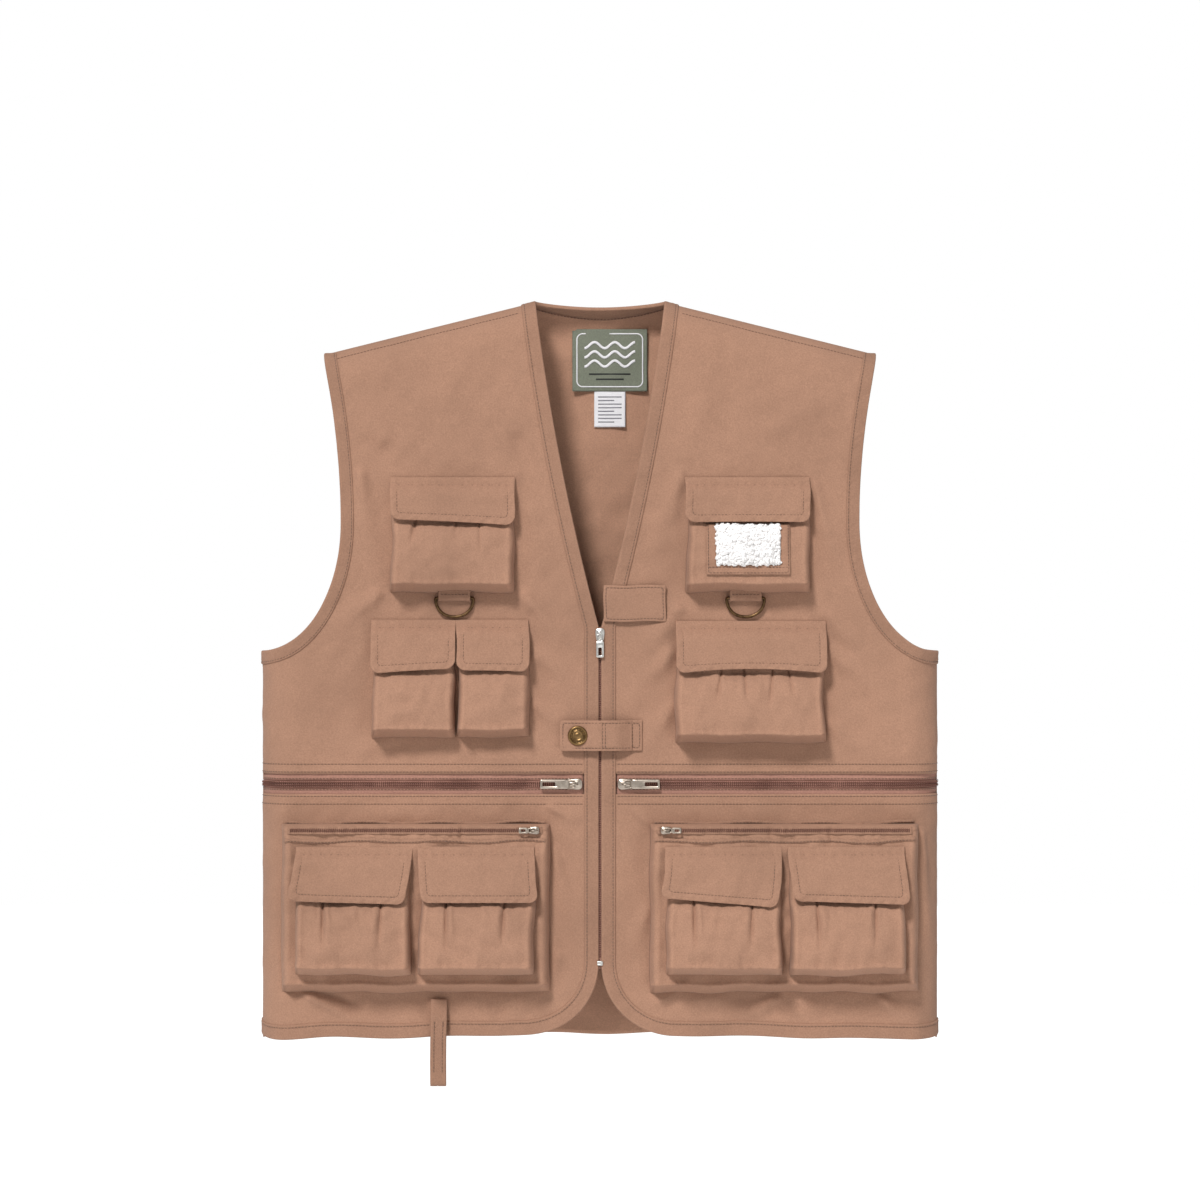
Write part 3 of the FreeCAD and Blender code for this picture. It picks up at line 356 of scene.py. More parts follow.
def washed_and_highlight_group():
    """Garment-washed colour: broad fading and darkening, mottling, and seams and edges painted paler, partly as rubbed
    wear and partly as a painted highlight on folded edges.
    """
    tree, nodes, given, result = new_group(
        "Washed_and_highlit", [("Color", "color", (0.4, 0.24, 0.17, 1)), ("Faded", "color", (0.5, 0.33, 0.25, 1)),
                   ("Shaded", "color", (0.25, 0.13, 0.09, 1)), ("Tone", "float", 0.0),
                   ("Amount", "float", 0.5)],
        [("Color", "color"), ("Roughness", "float")])
    place = nodes.add("ShaderNodeTexCoord").outputs["Object"]
    broad = noise(nodes, place, 9.0, 4.0, 0.55)
    fine = noise(nodes, place, 130.0, 4.0, 0.7)
    grain = noise(nodes, place, 850.0, 2.0, 0.6)
    # the edge mask lightens edges towards the faded colour: rubbed wear and a painted highlight on folded edges
    edge = nodes.add("ShaderNodeAttribute", attribute_name="edge").outputs["Fac"]
    rubbed_and_highlit = nodes.math("MULTIPLY", edge, nodes.math("MULTIPLY", fine, 1.2))
    fade = nodes.math("MULTIPLY", nodes.math("SUBTRACT", broad, 0.42), given["Amount"])
    for value, level, strength in ((fine, 0.5, 0.6), (grain, 0.34, 2.4), (rubbed_and_highlit, 0.0, 0.45),
                                   (given["Tone"], 0.0, 0.35)):
        part = nodes.math("MULTIPLY", nodes.math("SUBTRACT", value, level), strength)
        fade = nodes.math("ADD", fade, part)
    fade = nodes.add("ShaderNodeClamp", {"Value": fade}).outputs[0]
    paler = mix_color(nodes, fade, given["Color"], given["Faded"])
    dark = nodes.math("MULTIPLY", nodes.math("SUBTRACT", 0.5, broad), 1.1)
    dark = nodes.add("ShaderNodeClamp", {"Value": dark}).outputs[0]
    tree.links.new(mix_color(nodes, dark, paler, given["Shaded"]), result["Color"])
    tree.links.new(nodes.math("ADD", 0.86, nodes.math("MULTIPLY", fine, 0.1)), result["Roughness"])
    return tree


def mix_color(nodes, factor, one, two):
    """A colour mix node; its colour sockets are the ones that follow the factor and vector pairs."""
    made = nodes.tree.nodes.new("ShaderNodeMix")
    made.data_type = "RGBA"
    for socket, value in zip((made.inputs[0], made.inputs[6], made.inputs[7]), (factor, one, two)):
        if isinstance(value, bpy.types.NodeSocket):
            nodes.tree.links.new(value, socket)
        else:
            socket.default_value = value
    return made.outputs[2]


def patina_group():
    """Cast metal: tarnish gathers in patches, and fine scratches break up the polish."""
    tree, nodes, given, result = new_group(
        "Patina", [("Bright", "color", (0.6, 0.6, 0.58, 1)), ("Tarnish", "color", (0.1, 0.07, 0.04, 1)),
                   ("Amount", "float", 0.4)],
        [("Color", "color"), ("Roughness", "float"), ("Height", "float")])
    place = nodes.add("ShaderNodeTexCoord").outputs["Object"]
    patch = noise(nodes, place, 260.0, 5.0, 0.6)
    grain = noise(nodes, place, 1900.0, 3.0)
    dark = nodes.math("MULTIPLY", nodes.math("SUBTRACT", patch, 0.35),
                      nodes.math("MULTIPLY", given["Amount"], 3.0))
    dark = nodes.add("ShaderNodeClamp", {"Value": dark}).outputs[0]
    tree.links.new(mix_color(nodes, dark, given["Bright"], given["Tarnish"]), result["Color"])
    rough = nodes.math("ADD", 0.22, nodes.math("MULTIPLY", dark, 0.3))
    tree.links.new(nodes.math("ADD", rough, nodes.math("MULTIPLY", grain, 0.12)), result["Roughness"])
    tree.links.new(grain, result["Height"])
    return tree


def shaded(color, factor):
    """A colour made lighter or darker, with its alpha."""
    return (color[0] * factor, color[1] * factor, color[2] * factor, 1.0)


def new_material(name):
    """A node material, the helper for its tree and its shader."""
    material = bpy.data.materials.new(name)
    material.use_nodes = True
    tree = material.node_tree
    return material, Nodes(tree), tree.nodes["Principled BSDF"]


def place_group(nodes, name, **values):
    """A node group placed in a material with its own values; a name's capital letter is left to this."""
    made = nodes.add("ShaderNodeGroup", node_tree=bpy.data.node_groups[name])
    for socket, value in values.items():
        made.inputs[socket.capitalize()].default_value = value
    return made


def add_relief(nodes, shader, height, strength, distance):
    """A bump map on the shader's normal."""
    bump = nodes.add("ShaderNodeBump", {"Strength": strength, "Distance": distance, "Height": height})
    nodes.tree.links.new(bump.outputs["Normal"], shader.inputs["Normal"])


def fabric(name, color, pitch=0.0008, amount=0.5, bump=0.5, sheen=0.05, faded=1.28, shade=0.68, slub=0.5):
    """A woven cloth: washed colour, weave relief and a soft sheen."""
    material, nodes, shader = new_material(name)
    weave = place_group(nodes, "Weave", pitch=pitch, slub=slub)
    # washed colour, with edges painted paler as wear and as a painted highlight
    washed_and_highlit_colour = place_group(nodes, "Washed_and_highlit", color=shaded(color, 1), faded=shaded(color, faded),
                         shaded=shaded(color, shade), amount=amount)
    links = material.node_tree.links
    links.new(weave.outputs["Tone"], washed_and_highlit_colour.inputs["Tone"])
    links.new(washed_and_highlit_colour.outputs["Color"], shader.inputs["Base Color"])
    links.new(washed_and_highlit_colour.outputs["Roughness"], shader.inputs["Roughness"])
    add_relief(nodes, shader, weave.outputs["Height"], bump, 0.0002)
    shader.inputs["Sheen Weight"].default_value = sheen
    shader.inputs["Sheen Roughness"].default_value = 0.45
    shader.inputs["Specular IOR Level"].default_value = 0.25
    return material


def metal(name, bright, tarnish, amount):
    """A plated or antiqued metal."""
    material, nodes, shader = new_material(name)
    patina = place_group(nodes, "Patina", bright=shaded(bright, 1), tarnish=shaded(tarnish, 1), amount=amount)
    links = material.node_tree.links
    links.new(patina.outputs["Color"], shader.inputs["Base Color"])
    links.new(patina.outputs["Roughness"], shader.inputs["Roughness"])
    add_relief(nodes, shader, patina.outputs["Height"], 0.15, 0.0001)
    shader.inputs["Metallic"].default_value = 1.0
    return material


MATERIALS = {}


def make_materials(cloth_color, fleece_color):
    """Every material of the vest, kept by name for the pieces that follow."""
    weave_group()
    washed_and_highlight_group()
    patina_group()
    cloth = tuple(cloth_color)[:3]
    darker = tuple(part * 0.9 for part in cloth)
    MATERIALS.update({
        "poplin": fabric("poplin", cloth),
        # the back's inner face is painted 1.2 times brighter than the cloth: painted light that lifts the shade inside
        # the vest
        "inside": fabric("poplin_inside", tuple(part * 1.2 for part in cloth), amount=0.3),
        "flap": fabric("poplin_flap", tuple(part * 0.94 for part in cloth), amount=0.6),
        "binding": fabric("poplin_binding", darker, amount=0.6),
        # thread painted at half the cloth's brightness: partly its own darker tone, partly painted shade of the
        # grooves the stitches sink into
        "thread": fabric("thread", tuple(part * 0.5 for part in cloth), pitch=0.0004, bump=0.3, sheen=0.2),
        "tape": fabric("zip_tape", (0.34, 0.175, 0.13), pitch=0.0013, amount=0.3, bump=0.9, slub=0.2),
        "coil": fabric("zip_coil", (0.125, 0.05, 0.036), pitch=0.002, amount=0.3, bump=0.1, sheen=0.1),
        "webbing": fabric("webbing", tuple(part * 0.86 for part in cloth), pitch=0.0015, bump=1.0),
        "fleece": fabric("fleece", tuple(fleece_color)[:3], pitch=0.0012, amount=0.3, bump=0.5, sheen=0.6,
                         faded=1.05, shade=0.93),
        "olive": fabric("label_olive", (0.165, 0.178, 0.135), pitch=0.0006, amount=0.2),
        "white": fabric("label_white", (0.80, 0.79, 0.81), pitch=0.0005, amount=0.1, faded=1.05, shade=0.95),
        "grey": fabric("label_grey", (0.22, 0.22, 0.24), pitch=0.0005, amount=0.1),
        "ink": fabric("label_ink", (0.035, 0.038, 0.035), pitch=0.0005, amount=0.1),
        "brass": metal("antique_brass", (0.27, 0.165, 0.07), (0.06, 0.032, 0.014), 0.7),
        "dark_brass": metal("dark_brass", (0.16, 0.095, 0.045), (0.02, 0.011, 0.006), 0.8),
        "nickel": metal("nickel", (0.70, 0.69, 0.66), (0.25, 0.24, 0.22), 0.25),
        "smoked": metal("smoked_nickel", (0.50, 0.43, 0.36), (0.12, 0.09, 0.07), 0.45),
    })


# ------------------------------------------------------------------ the garment's form
def shoulder_z(x):
    """Height of the shoulder seam at a distance from the middle."""
    return -SLOPE * np.clip(np.abs(x) - NECK_X, 0, None)


def girth_x(girth):
    """Distance out from the middle for a length of cloth measured round the side."""
    size = np.abs(girth)
    turned = np.clip((size - SIDE_X) / ROUND, 0, math.pi / 2)
    return np.sign(girth) * np.where(size <= SIDE_X, size, SIDE_X + ROUND * np.sin(turned))


def x_girth(x):
    """Length of cloth from the middle to a distance out: the inverse of girth_x."""
    size = np.abs(x)
    turned = np.arcsin(np.clip((size - SIDE_X) / ROUND, 0, 1))
    return np.sign(x) * np.where(size <= SIDE_X, size, SIDE_X + ROUND * turned)


def fall_of(girth, z):
    """Length of cloth from the shoulder seam down to a height: round the arch, then straight."""
    drop = np.clip(shoulder_z(girth_x(girth)) - z, 0, None)
    return np.where(drop < ROUND, ROUND * np.arccos(np.clip(1 - drop / ROUND, -1, 1)), drop - ROUND + ARCH)


def height_at(girth, fall):
    """Height that a length of cloth below the shoulder seam reaches: the inverse of fall_of."""
    arch = ROUND * (1 - np.cos(np.clip(fall / ROUND, 0, math.pi / 2)))
    return shoulder_z(girth_x(girth)) - np.where(fall < ARCH, arch, fall - ARCH + ROUND)


def form(girth, fall, lift, face):
    """Point of the garment: a flat front and back joined by round sides and an arched shoulder.

    girth runs round the body from the middle and fall down from the shoulder seam; lift stands
    off the cloth's outer face. face is -1 for the front and 1 for the back.
    """
    turned = np.clip((np.abs(girth) - SIDE_X) / ROUND, 0, math.pi / 2)
    tipped = np.clip(fall / ROUND, 0, math.pi / 2)
    x = girth_x(girth) + np.sign(girth) * lift * np.sin(turned)
    y = face * (ROUND + lift) * np.cos(turned) * np.sin(tipped)
    z = height_at(girth, fall) + lift * np.cos(tipped)
    hem = smooth_step((-z - 575) / 50) * smooth_step((GIRTH - np.abs(girth)) / 70)
    z = z + 1.5 * ripple(x, 0 * x, 120, 7 if face < 0 else 9) * hem
    return np.stack(np.broadcast_arrays(x, y, z), axis=-1)


def armhole_edge(border=0.0, count=400):
    """The armhole from shoulder tip to side seam as (girth, height), moved into the cloth by a border."""
    tip, waist = TIP_X - border, WAIST_X - border
    under = UNDER_Z - border
    share = np.linspace(0, 1, count)[:, None]
    upper = ((1 - share) ** 2 * [tip, TIP_Z] + 2 * share * (1 - share) * [waist, 0.62 * WAIST_Z]
             + share**2 * [waist, WAIST_Z])
    turn = share * math.pi / 2
    side_x = BACK_HIGH[0]
    lower = np.concatenate([side_x - (side_x - waist) * np.cos(turn),
                            WAIST_Z + (under - WAIST_Z) * np.sin(turn)], 1)
    path = np.concatenate([upper, lower[1:]])
    path[:, 0] = x_girth(path[:, 0])
    return path


def front_edge(inset=0.0):
    """The left front's free edge from the neck down the V, the zip, round the corner to the side seam."""
    share = np.linspace(0, 1, 160)
    top, low = NECK_X + inset, EDGE_X + inset
    bow = VEE_BULGE * 4 * share * (1 - share)
    vee = np.stack([top + (low - top) * share + bow, VEE_Z * share], 1)
    center_x = EDGE_X + CORNER
    center_z = HEM_Z + CORNER
    turn = np.linspace(0, math.pi / 2, 60)
    radius = CORNER - inset
    corner = np.stack([center_x - radius * np.cos(turn), center_z - radius * np.sin(turn)], 1)
    side = np.array([[GIRTH, HEM_Z + inset]])
    return np.concatenate([vee, corner, side])


def neck_edge(border=0.0):
    """The back neck from the middle to the shoulder seam."""
    share = np.linspace(0, 1, 60)
    half = NECK_X + border
    return np.stack([half * share, -(NECK_DROP + border) * (1 - share**2)], 1)


# ------------------------------------------------------------------ how the cloth lies
def pocket_rest(x, z):
    """0 under the pockets and beside the zip, where the cloth is held flat, 1 elsewhere."""
    free = np.ones(np.broadcast(x, z).shape)
    for name in ("upper_left", "upper_right", "twin_outer", "twin_inner", "lower_left"):
        low, high = node_box(name + "_pocket")
        off = np.maximum(np.maximum(low[0] - x, x - high[0]), np.maximum(low[2] - z, z - high[2] - 12))
        free *= smooth_step((off + 4) / 14)
    for name in ("cargo_pocket_left", "cargo_pocket_right"):
        low, high = node_box(name)
        off = np.maximum(np.maximum(low[0] - x, x - high[0]), np.maximum(low[2] - z, z - high[2]))
        free *= smooth_step((off + 4) / 12)
    beside = np.minimum(np.abs(z - YOKE_TOP), np.abs(z - YOKE_LOW))
    return free * smooth_step((np.abs(x) - 6) / 20) * (0.12 + 0.88 * smooth_step(beside / 16))


# folds pressed into the fronts: start, end, width, height; negative x is the wearer's right
FRONT_FOLDS = [
    ((-250, -592), (-205, -618), 5, 2.6), ((-236, -590), (-196, -607), 4, -2.2),
    ((-272, -560), (-262, -610), 6, 1.8), ((-190, -252), (-232, -285), 9, 2.6),
    ((-178, -372), (-215, -392), 8, 1.8), ((-60, -300), (-14, -330), 9, 2.2),
    ((-62, -255), (-22, -300), 10, 2.8), ((-56, -345), (-20, -372), 8, 1.6),
    ((-60, -180), (-40, -235), 12, 1.6), ((-204, -150), (-196, -240), 10, 2.0),
    ((-70, -120), (-58, -175), 12, -1.2), ((-185, -118), (-205, -85), 13, 1.6),
    ((-42, -432), (-14, -446), 5, 2.0), ((-40, -470), (-22, -540), 8, 2.2),
    ((-36, -560), (-60, -600), 7, 1.8), ((62, -300), (22, -345), 9, 2.6),
    ((66, -265), (24, -320), 10, 2.2), ((64, -345), (30, -392), 9, 2.2),
    ((196, -270), (240, -318), 12, 2.6), ((196, -300), (262, -352), 11, 2.2),
    ((192, -360), (236, -396), 9, 1.8), ((182, -160), (204, -235), 9, 2.2),
    ((70, -150), (50, -215), 11, 1.8), ((150, -110), (205, -80), 15, 1.4),
    ((90, -90), (70, -140), 14, 1.2), ((44, -448), (20, -425), 5, 1.8),
    ((42, -520), (24, -560), 9, 2.4), ((274, -455), (282, -560), 5, 2.0),
    ((150, -596), (120, -616), 6, 2.0), ((240, -596), (262, -618), 6, 2.2),
    ((60, -592), (38, -608), 5, 1.6), ((-120, -60), (-160, -110), 22, 1.2),
    ((120, -46), (160, -96), 22, 1.2),
]
BACK_FOLDS = [
    ((-200, -250), (-120, -420), 22, 3.4), ((205, -240), (110, -400), 22, 3.6),
    ((-60, -60), (-30, -260), 30, 1.8), ((70, -70), (40, -300), 28, 1.8),
    ((-230, -330), (-190, -600), 20, 2.6), ((225, -330), (180, -590), 20, 2.8),
    ((-20, -400), (30, -620), 26, 2.2), ((-120, -430), (-90, -620), 18, 2.0),
    ((100, -420), (120, -600), 20, -2.0),
]


def lie_seed(face, side):
    """The back and each front lie in their own way; facings and stitches follow the same lie."""
    return 31 if face == BACK else 16 if side > 0 else 11


def cloth_lift(girth, z, face, side):
    """How far the cloth stands off its form: broad sway, small ripples and pressed folds, in millimetres."""
    seed = lie_seed(face, side)
    x = girth_x(girth) if face < 0 else girth
    broad = 1.1 * ripple(x, z, 150, seed) + 0.6 * ripple(x, z, 62, seed + 1)
    fine = 0.3 * ripple(x, z, 26, seed + 2) + 0.09 * ripple(x, z, 9, seed + 3)
    folds = 2.1 * sum(crease(x, z, *fold, power=0.8) for fold in (FRONT_FOLDS if face < 0 else BACK_FOLDS))
    held = pocket_rest(x, z) if face < 0 else 1.0
    seams = smooth_step((shoulder_z(girth_x(girth)) - z) / 24)
    side = seams * smooth_step((GIRTH - np.abs(girth)) / 26)
    fine = fine * seams * (0.35 + 0.65 * held) * smooth_step((GIRTH - np.abs(girth)) / 6)
    return side * held * (broad + folds) + fine


def on_cloth(girth, fall, lift, face, side):
    """A point that stands off the cloth as it lies."""
    return form(girth, fall, cloth_lift(girth, height_at(girth, fall), face, side) + lift, face)


def pucker(distance, along, seed, height=0.16, reach=6.0, pitch=7.5):
    """Little gathers that a line of stitching pulls into the cloth beside it."""
    wave = np.sin(2 * math.pi * along / pitch + 1.8 * ripple(along, 0 * along, 60, seed))
    swell = 0.6 + 0.4 * ripple(along, 0 * along, 37, seed + 9)
    return height * wave * swell * np.exp(-(distance / reach) ** 2)


def to_fall(path):
    """Turn (girth, height) points into (girth, fall)."""
    return np.stack([path[:, 0], fall_of(path[:, 0], path[:, 1])], 1)


def upper_grid():
    """(girth, fall) grid of the left front above its cross zip, from free edge to armhole and side."""
    edge = front_edge()
    low_end = [np.interp(-YOKE_TOP, -edge[:, 1], edge[:, 0]), YOKE_TOP]
    inner = np.concatenate([edge[edge[:, 1] > YOKE_TOP + 0.01], [low_end]])
    outer = np.concatenate([armhole_edge(), [[GIRTH, YOKE_TOP]]])
    return level_low_edge(span(to_fall(inner), to_fall(outer), 150, 112), YOKE_TOP)


def lower_grid():
    """The same below the cross zip; its rows are level, and the last one is the hem."""
    heights = np.linspace(YOKE_LOW, HEM_Z, 84)
    edge = front_edge()
    fine = edge[edge[:, 1] <= VEE_Z][:-1]
    near_x = np.interp(-heights, -fine[:, 1], fine[:, 0])
    girth = near_x[:, None] + (GIRTH - near_x)[:, None] * np.linspace(0, 1, 118)
    return np.stack([girth, fall_of(girth, heights[:, None])], -1)


def add_panel(builder, grid, face, side, thick=1.1):
    """A panel of body cloth from a (girth, fall) grid of its own side."""
    middle = on_cloth(grid[..., 0], grid[..., 1], -thick / 2, face, side)
    add_plate(builder, middle, thick, grid * [1.0, -1.0])


def span(inner, outer, rows, columns):
    """Grid between two edges; columns crowd a little towards the edges."""
    near, far = resample(inner, rows), resample(outer, rows)
    share = np.linspace(0, 1, columns)
    share = share - 0.06 * np.sin(2 * math.pi * share)
    return near[:, None] + (far - near)[:, None] * share[None, :, None]


def level_low_edge(grid, low_z):
    """Ease the rows of a grid so that the last one lies level at a height."""
    change = fall_of(grid[-1, :, 0], low_z) - grid[-1, :, 1]
    grid[..., 1] += change * np.linspace(0, 1, len(grid))[:, None] ** 3
    return grid


def declare_sheet(grid, face):
    """Work out the area of a panel's form, in square metres; nothing uses it."""
    area = grid_area(form(grid[..., 0], grid[..., 1], 0, face)) * MM * MM


def make_front_panels(cloth):
    """The four front panels: a free edge and an armhole or side seam joined by rows of cloth."""
    parts = (("upper", upper_grid(), ARCH - ROUND - YOKE_TOP), ("lower", lower_grid(), YOKE_LOW - HEM_Z + 1))
    for side, word in ((1, "left"), (-1, "right")):
        for part, left_grid, length in parts:
            name = f"front_{part}_{word}"
            grid = left_grid * [side, 1.0]
            builder = Builder()
            add_panel(builder, grid, FRONT, side)
            piece = builder.make(name + "_cloth", cloth, "garment", replaces=[name], slot="poplin")
            declare_sheet(grid, FRONT)


def grid_area(points):
    """Area of a grid of points, from the cross products of its cells."""
    one = points[1:, :-1] - points[:-1, :-1]
    two = points[:-1, 1:] - points[:-1, :-1]
    return float(np.linalg.norm(np.cross(one, two), axis=-1).sum())


def make_back_panel(cloth):
    """One back: rows from side to side under the neck edge and the two shoulder seams."""
    rows, half = 190, 96
    outer = resample(to_fall(np.concatenate([armhole_edge(), [[GIRTH, BACK_HEM_Z]]])), rows)
    middle = resample([[0.0, fall_of(0.0, -NECK_DROP)], [0.0, fall_of(0.0, BACK_HEM_Z)]], rows)
    grid = middle[:, None] + (outer - middle)[:, None] * np.linspace(0, 1, half)[None, :, None]
    neck = neck_edge()
    top_x = grid[0, :, 0]
    top_z = np.where(top_x < NECK_X, np.interp(top_x, neck[:, 0], neck[:, 1]), shoulder_z(top_x))
    change = fall_of(top_x, top_z) - grid[0, :, 1]
    grid[..., 1] += change[None, :] * (1 - np.linspace(0, 1, rows)[:, None]) ** 6
    grid = level_low_edge(grid, BACK_HEM_Z)
    whole = np.concatenate([grid[:, :0:-1] * [-1.0, 1.0], grid], axis=1)
    builder = Builder()
    add_panel(builder, whole, BACK, 1)
    piece = builder.make("back_panel_cloth", cloth, "garment", replaces=["back_panel"], slot="poplin")
    # the first cells of the plate are its inner side, which takes the inside material, painted brighter than the
    # cloth: painted light against the shade inside the vest
    piece.data.materials.append(MATERIALS["inside"])
    sides = np.zeros(len(piece.data.polygons), dtype=np.int32)
    sides[:(whole.shape[0] - 1) * (whole.shape[1] - 1)] = 1
    piece.data.polygons.foreach_set("material_index", sides)
    declare_sheet(whole, BACK)


# ------------------------------------------------------------------ facings and bindings
# (inset, lift) round a facing's or binding's section, from its free edge over its face and back beneath
STRIP_SECTION = [(0.0, -0.9), (-0.55, -0.3), (-0.6, 0.4), (-0.2, 1.0), (0.6, 1.25), (2.2, 1.2), (5.0, 1.05),
                 (8.0, 1.1), (9.4, 0.8), (10.2, 1.0), (11.2, 1.05), (11.8, 0.75), (12.0, 0.2), (11.6, -0.5),
                 (6.0, -0.7)]


def strip_points(edge_at, width, count, face, side, deep=0.0):
    """A facing: its section is carried along an edge and bent over the garment's form."""
    scale = width / STRIP_SECTION[12][0]
    rings = []
    for inset, lift in STRIP_SECTION:
        path = resample(to_fall(edge_at(max(inset, 0) * scale)), count)
        girth, fall = path[:, 0] * side, path[:, 1]
        along = np.concatenate([[0], np.cumsum(np.linalg.norm(np.diff(path, axis=0), axis=1))])
        out = lift + pucker(abs(inset - 10), along, lie_seed(face, side)) if lift > 0 else lift - deep
        rise = cloth_lift(girth, height_at(girth, fall), face, side) + out
        point = form(girth, fall, rise, face)
        if inset < 0:
            inner = form(*(resample(to_fall(edge_at(1.0)), count) * [side, 1]).T, rise, face)
            away = point - inner
            point = point + away / np.linalg.norm(away, axis=1, keepdims=True) * -inset
        rings.append(point)
    return np.stack(rings, axis=1)


def make_strip(node, points, length, cloth, closed=False):
    """Make a strip from its rings: its map runs across the section and along the edge, which is painted paler as wear
    and as a painted highlight on the fold.
    """
    across = np.cumsum([0] + [math.dist(one, two) for one, two in zip(STRIP_SECTION, STRIP_SECTION[1:])])
    along = np.linspace(0, length, len(points))
    # the folded edge and the far edge are painted paler: wear and a painted highlight
    wear_and_highlight = [0.9 if inset < 0.7 else 0.25 if inset > 11 else 0.0 for inset, _ in STRIP_SECTION]
    builder = Builder()
    add_section(builder, points, np.stack(np.broadcast_arrays(across[None, :], along[:, None]), axis=-1),
                np.broadcast_to(wear_and_highlight, points.shape[:2]), closed_path=closed)
    builder.make(node + "_cloth", cloth, "garment", replaces=[node], slot="poplin_binding")


def make_facings(cloth, made_stitches):
    """Front facings down the V, zip, corner and hem, the back neck band and the armhole bindings."""
    mirror = [-1.0, 1.0, 1.0]

    def sew(edge_at, inset, lift, face, side):
        """A row of stitches along an edge."""
        path = resample(to_fall(edge_at(inset)), step=SEAM_STEP)
        made_stitches.append((on_cloth(path[:, 0] * side, path[:, 1], lift, face, side), "garment"))

    for side, word in ((1, "left"), (-1, "right")):
        make_strip("front_facing_" + word, strip_points(front_edge, BAND, 420, FRONT, side), 1180, cloth)
        sew(front_edge, 9.6, 0.95, FRONT, side)
        front = strip_points(armhole_edge, BINDING, 300, FRONT, side, deep=0.6)
        back = strip_points(armhole_edge, BINDING, 300, BACK, side, deep=0.6)
        make_strip("armhole_binding_" + word, np.concatenate([front, back[-2:0:-1]]), 900, cloth, closed=True)
        for face in (FRONT, BACK):
            sew(armhole_edge, 9.2, 1.0, face, side)
    right = strip_points(neck_edge, NECK_BAND, 120, BACK, 1, deep=1.4)
    make_strip("back_neck_band", np.concatenate([right[:0:-1] * mirror, right]), 2 * NECK_X, cloth)
    for lift in (1.0, -2.35):
        path = resample(to_fall(neck_edge(7.6)), step=SEAM_STEP)
        right = form(path[:, 0], path[:, 1], lift, BACK)
        made_stitches.append((np.concatenate([right[:0:-1] * mirror, right]), "garment"))


def hem_stitches(made_stitches):
    """Topstitching of the back hem, the shoulder seams and the panels' edges along the cross zips."""
    def sew(girth, z, face, side):
        """A row of stitches at given heights."""
        made_stitches.append((on_cloth(girth, fall_of(girth, z), 0.12, face, side), "garment"))

    across = np.linspace(-GIRTH, GIRTH, int(2 * GIRTH / SEAM_STEP))
    for rise in (12, 1.6):
        sew(across, BACK_HEM_Z + rise, BACK, 1)
    for side in (1, -1):
        for face in (FRONT, BACK):
            reach = np.linspace(NECK_X + 14, TIP_X - 12, 62) * side
            sew(reach, shoulder_z(reach) - 7.5, face, side)
        zip_run = np.linspace(EDGE_X + BAND + 1, GIRTH - 2, 98) * side
        for z in (YOKE_TOP + 1.8, YOKE_TOP + 8.5, YOKE_LOW - 1.8, YOKE_LOW - 8.5):
            sew(zip_run, z, FRONT, side)


# ------------------------------------------------------------------ small shapes
def add_stitches(builder, path, thick=0.38, length=2.2, pitch=SEAM_STEP):
    """Lockstitches along a path of points: one short six-sided bead of thread for each gap."""
    path = resample(path, step=pitch)
    start, end = path[:-1], path[1:]
    along = (end - start) / np.maximum(np.linalg.norm(end - start, axis=1, keepdims=True), 1e-9)
    middle = (start + end) / 2
    side = np.cross(along, [0.03, 1.0, 0.02])
    side /= np.maximum(np.linalg.norm(side, axis=1, keepdims=True), 1e-9)
    top = np.cross(side, along)
    angle = np.linspace(0, 2 * math.pi, 6, endpoint=False)
    ring = np.cos(angle)[None, :, None] * side[:, None, :] + np.sin(angle)[None, :, None] * top[:, None, :]
    rings = [middle[:, None, :] + along[:, None, :] * spot * length / 2 + ring * thick * size
             for spot, size in ((-1.0, 0.35), (-0.55, 1.0), (0.55, 1.0), (1.0, 0.35))]
    points = np.stack(rings, axis=1)
    count = len(points)
    side_faces = grid_faces(4, 6, wrap_columns=True)
    caps = np.array([[5, 4, 3, 2], [5, 2, 1, 0], [18, 19, 20, 21], [18, 21, 22, 23]])
    faces = np.concatenate([side_faces, caps])
    every = faces[None] + (np.arange(count) * 24)[:, None, None]
    builder.add(points.reshape(-1, 3), every.reshape(-1, 4), points.reshape(-1, 3)[:, [0, 2]])


def add_lathe(builder, profile, center, sides=40):
    """A turned shape: (radius, height) points spun about an axis that faces -Y."""
    profile = np.asarray(profile, float)
    angle = np.linspace(0, 2 * math.pi, sides, endpoint=False)
    x = center[0] + profile[:, :1] * np.cos(angle)
    z = center[2] + profile[:, :1] * np.sin(angle)
    y = center[1] - np.broadcast_to(profile[:, 1:], x.shape)
    add_section(builder, np.stack([x, y, z], axis=-1))


def rounded_outline(half_x, half_z, radius, count=44):
    """Points round a rectangle with rounded corners, anticlockwise from +X."""
    angle = np.linspace(0, 2 * math.pi, count, endpoint=False) + math.pi / count
    radius = min(radius, half_x, half_z)
    x = np.sign(np.cos(angle)) * (half_x - radius) + radius * np.cos(angle)
    z = np.sign(np.sin(angle)) * (half_z - radius) + radius * np.sin(angle)
    return np.stack([x, z], 1)


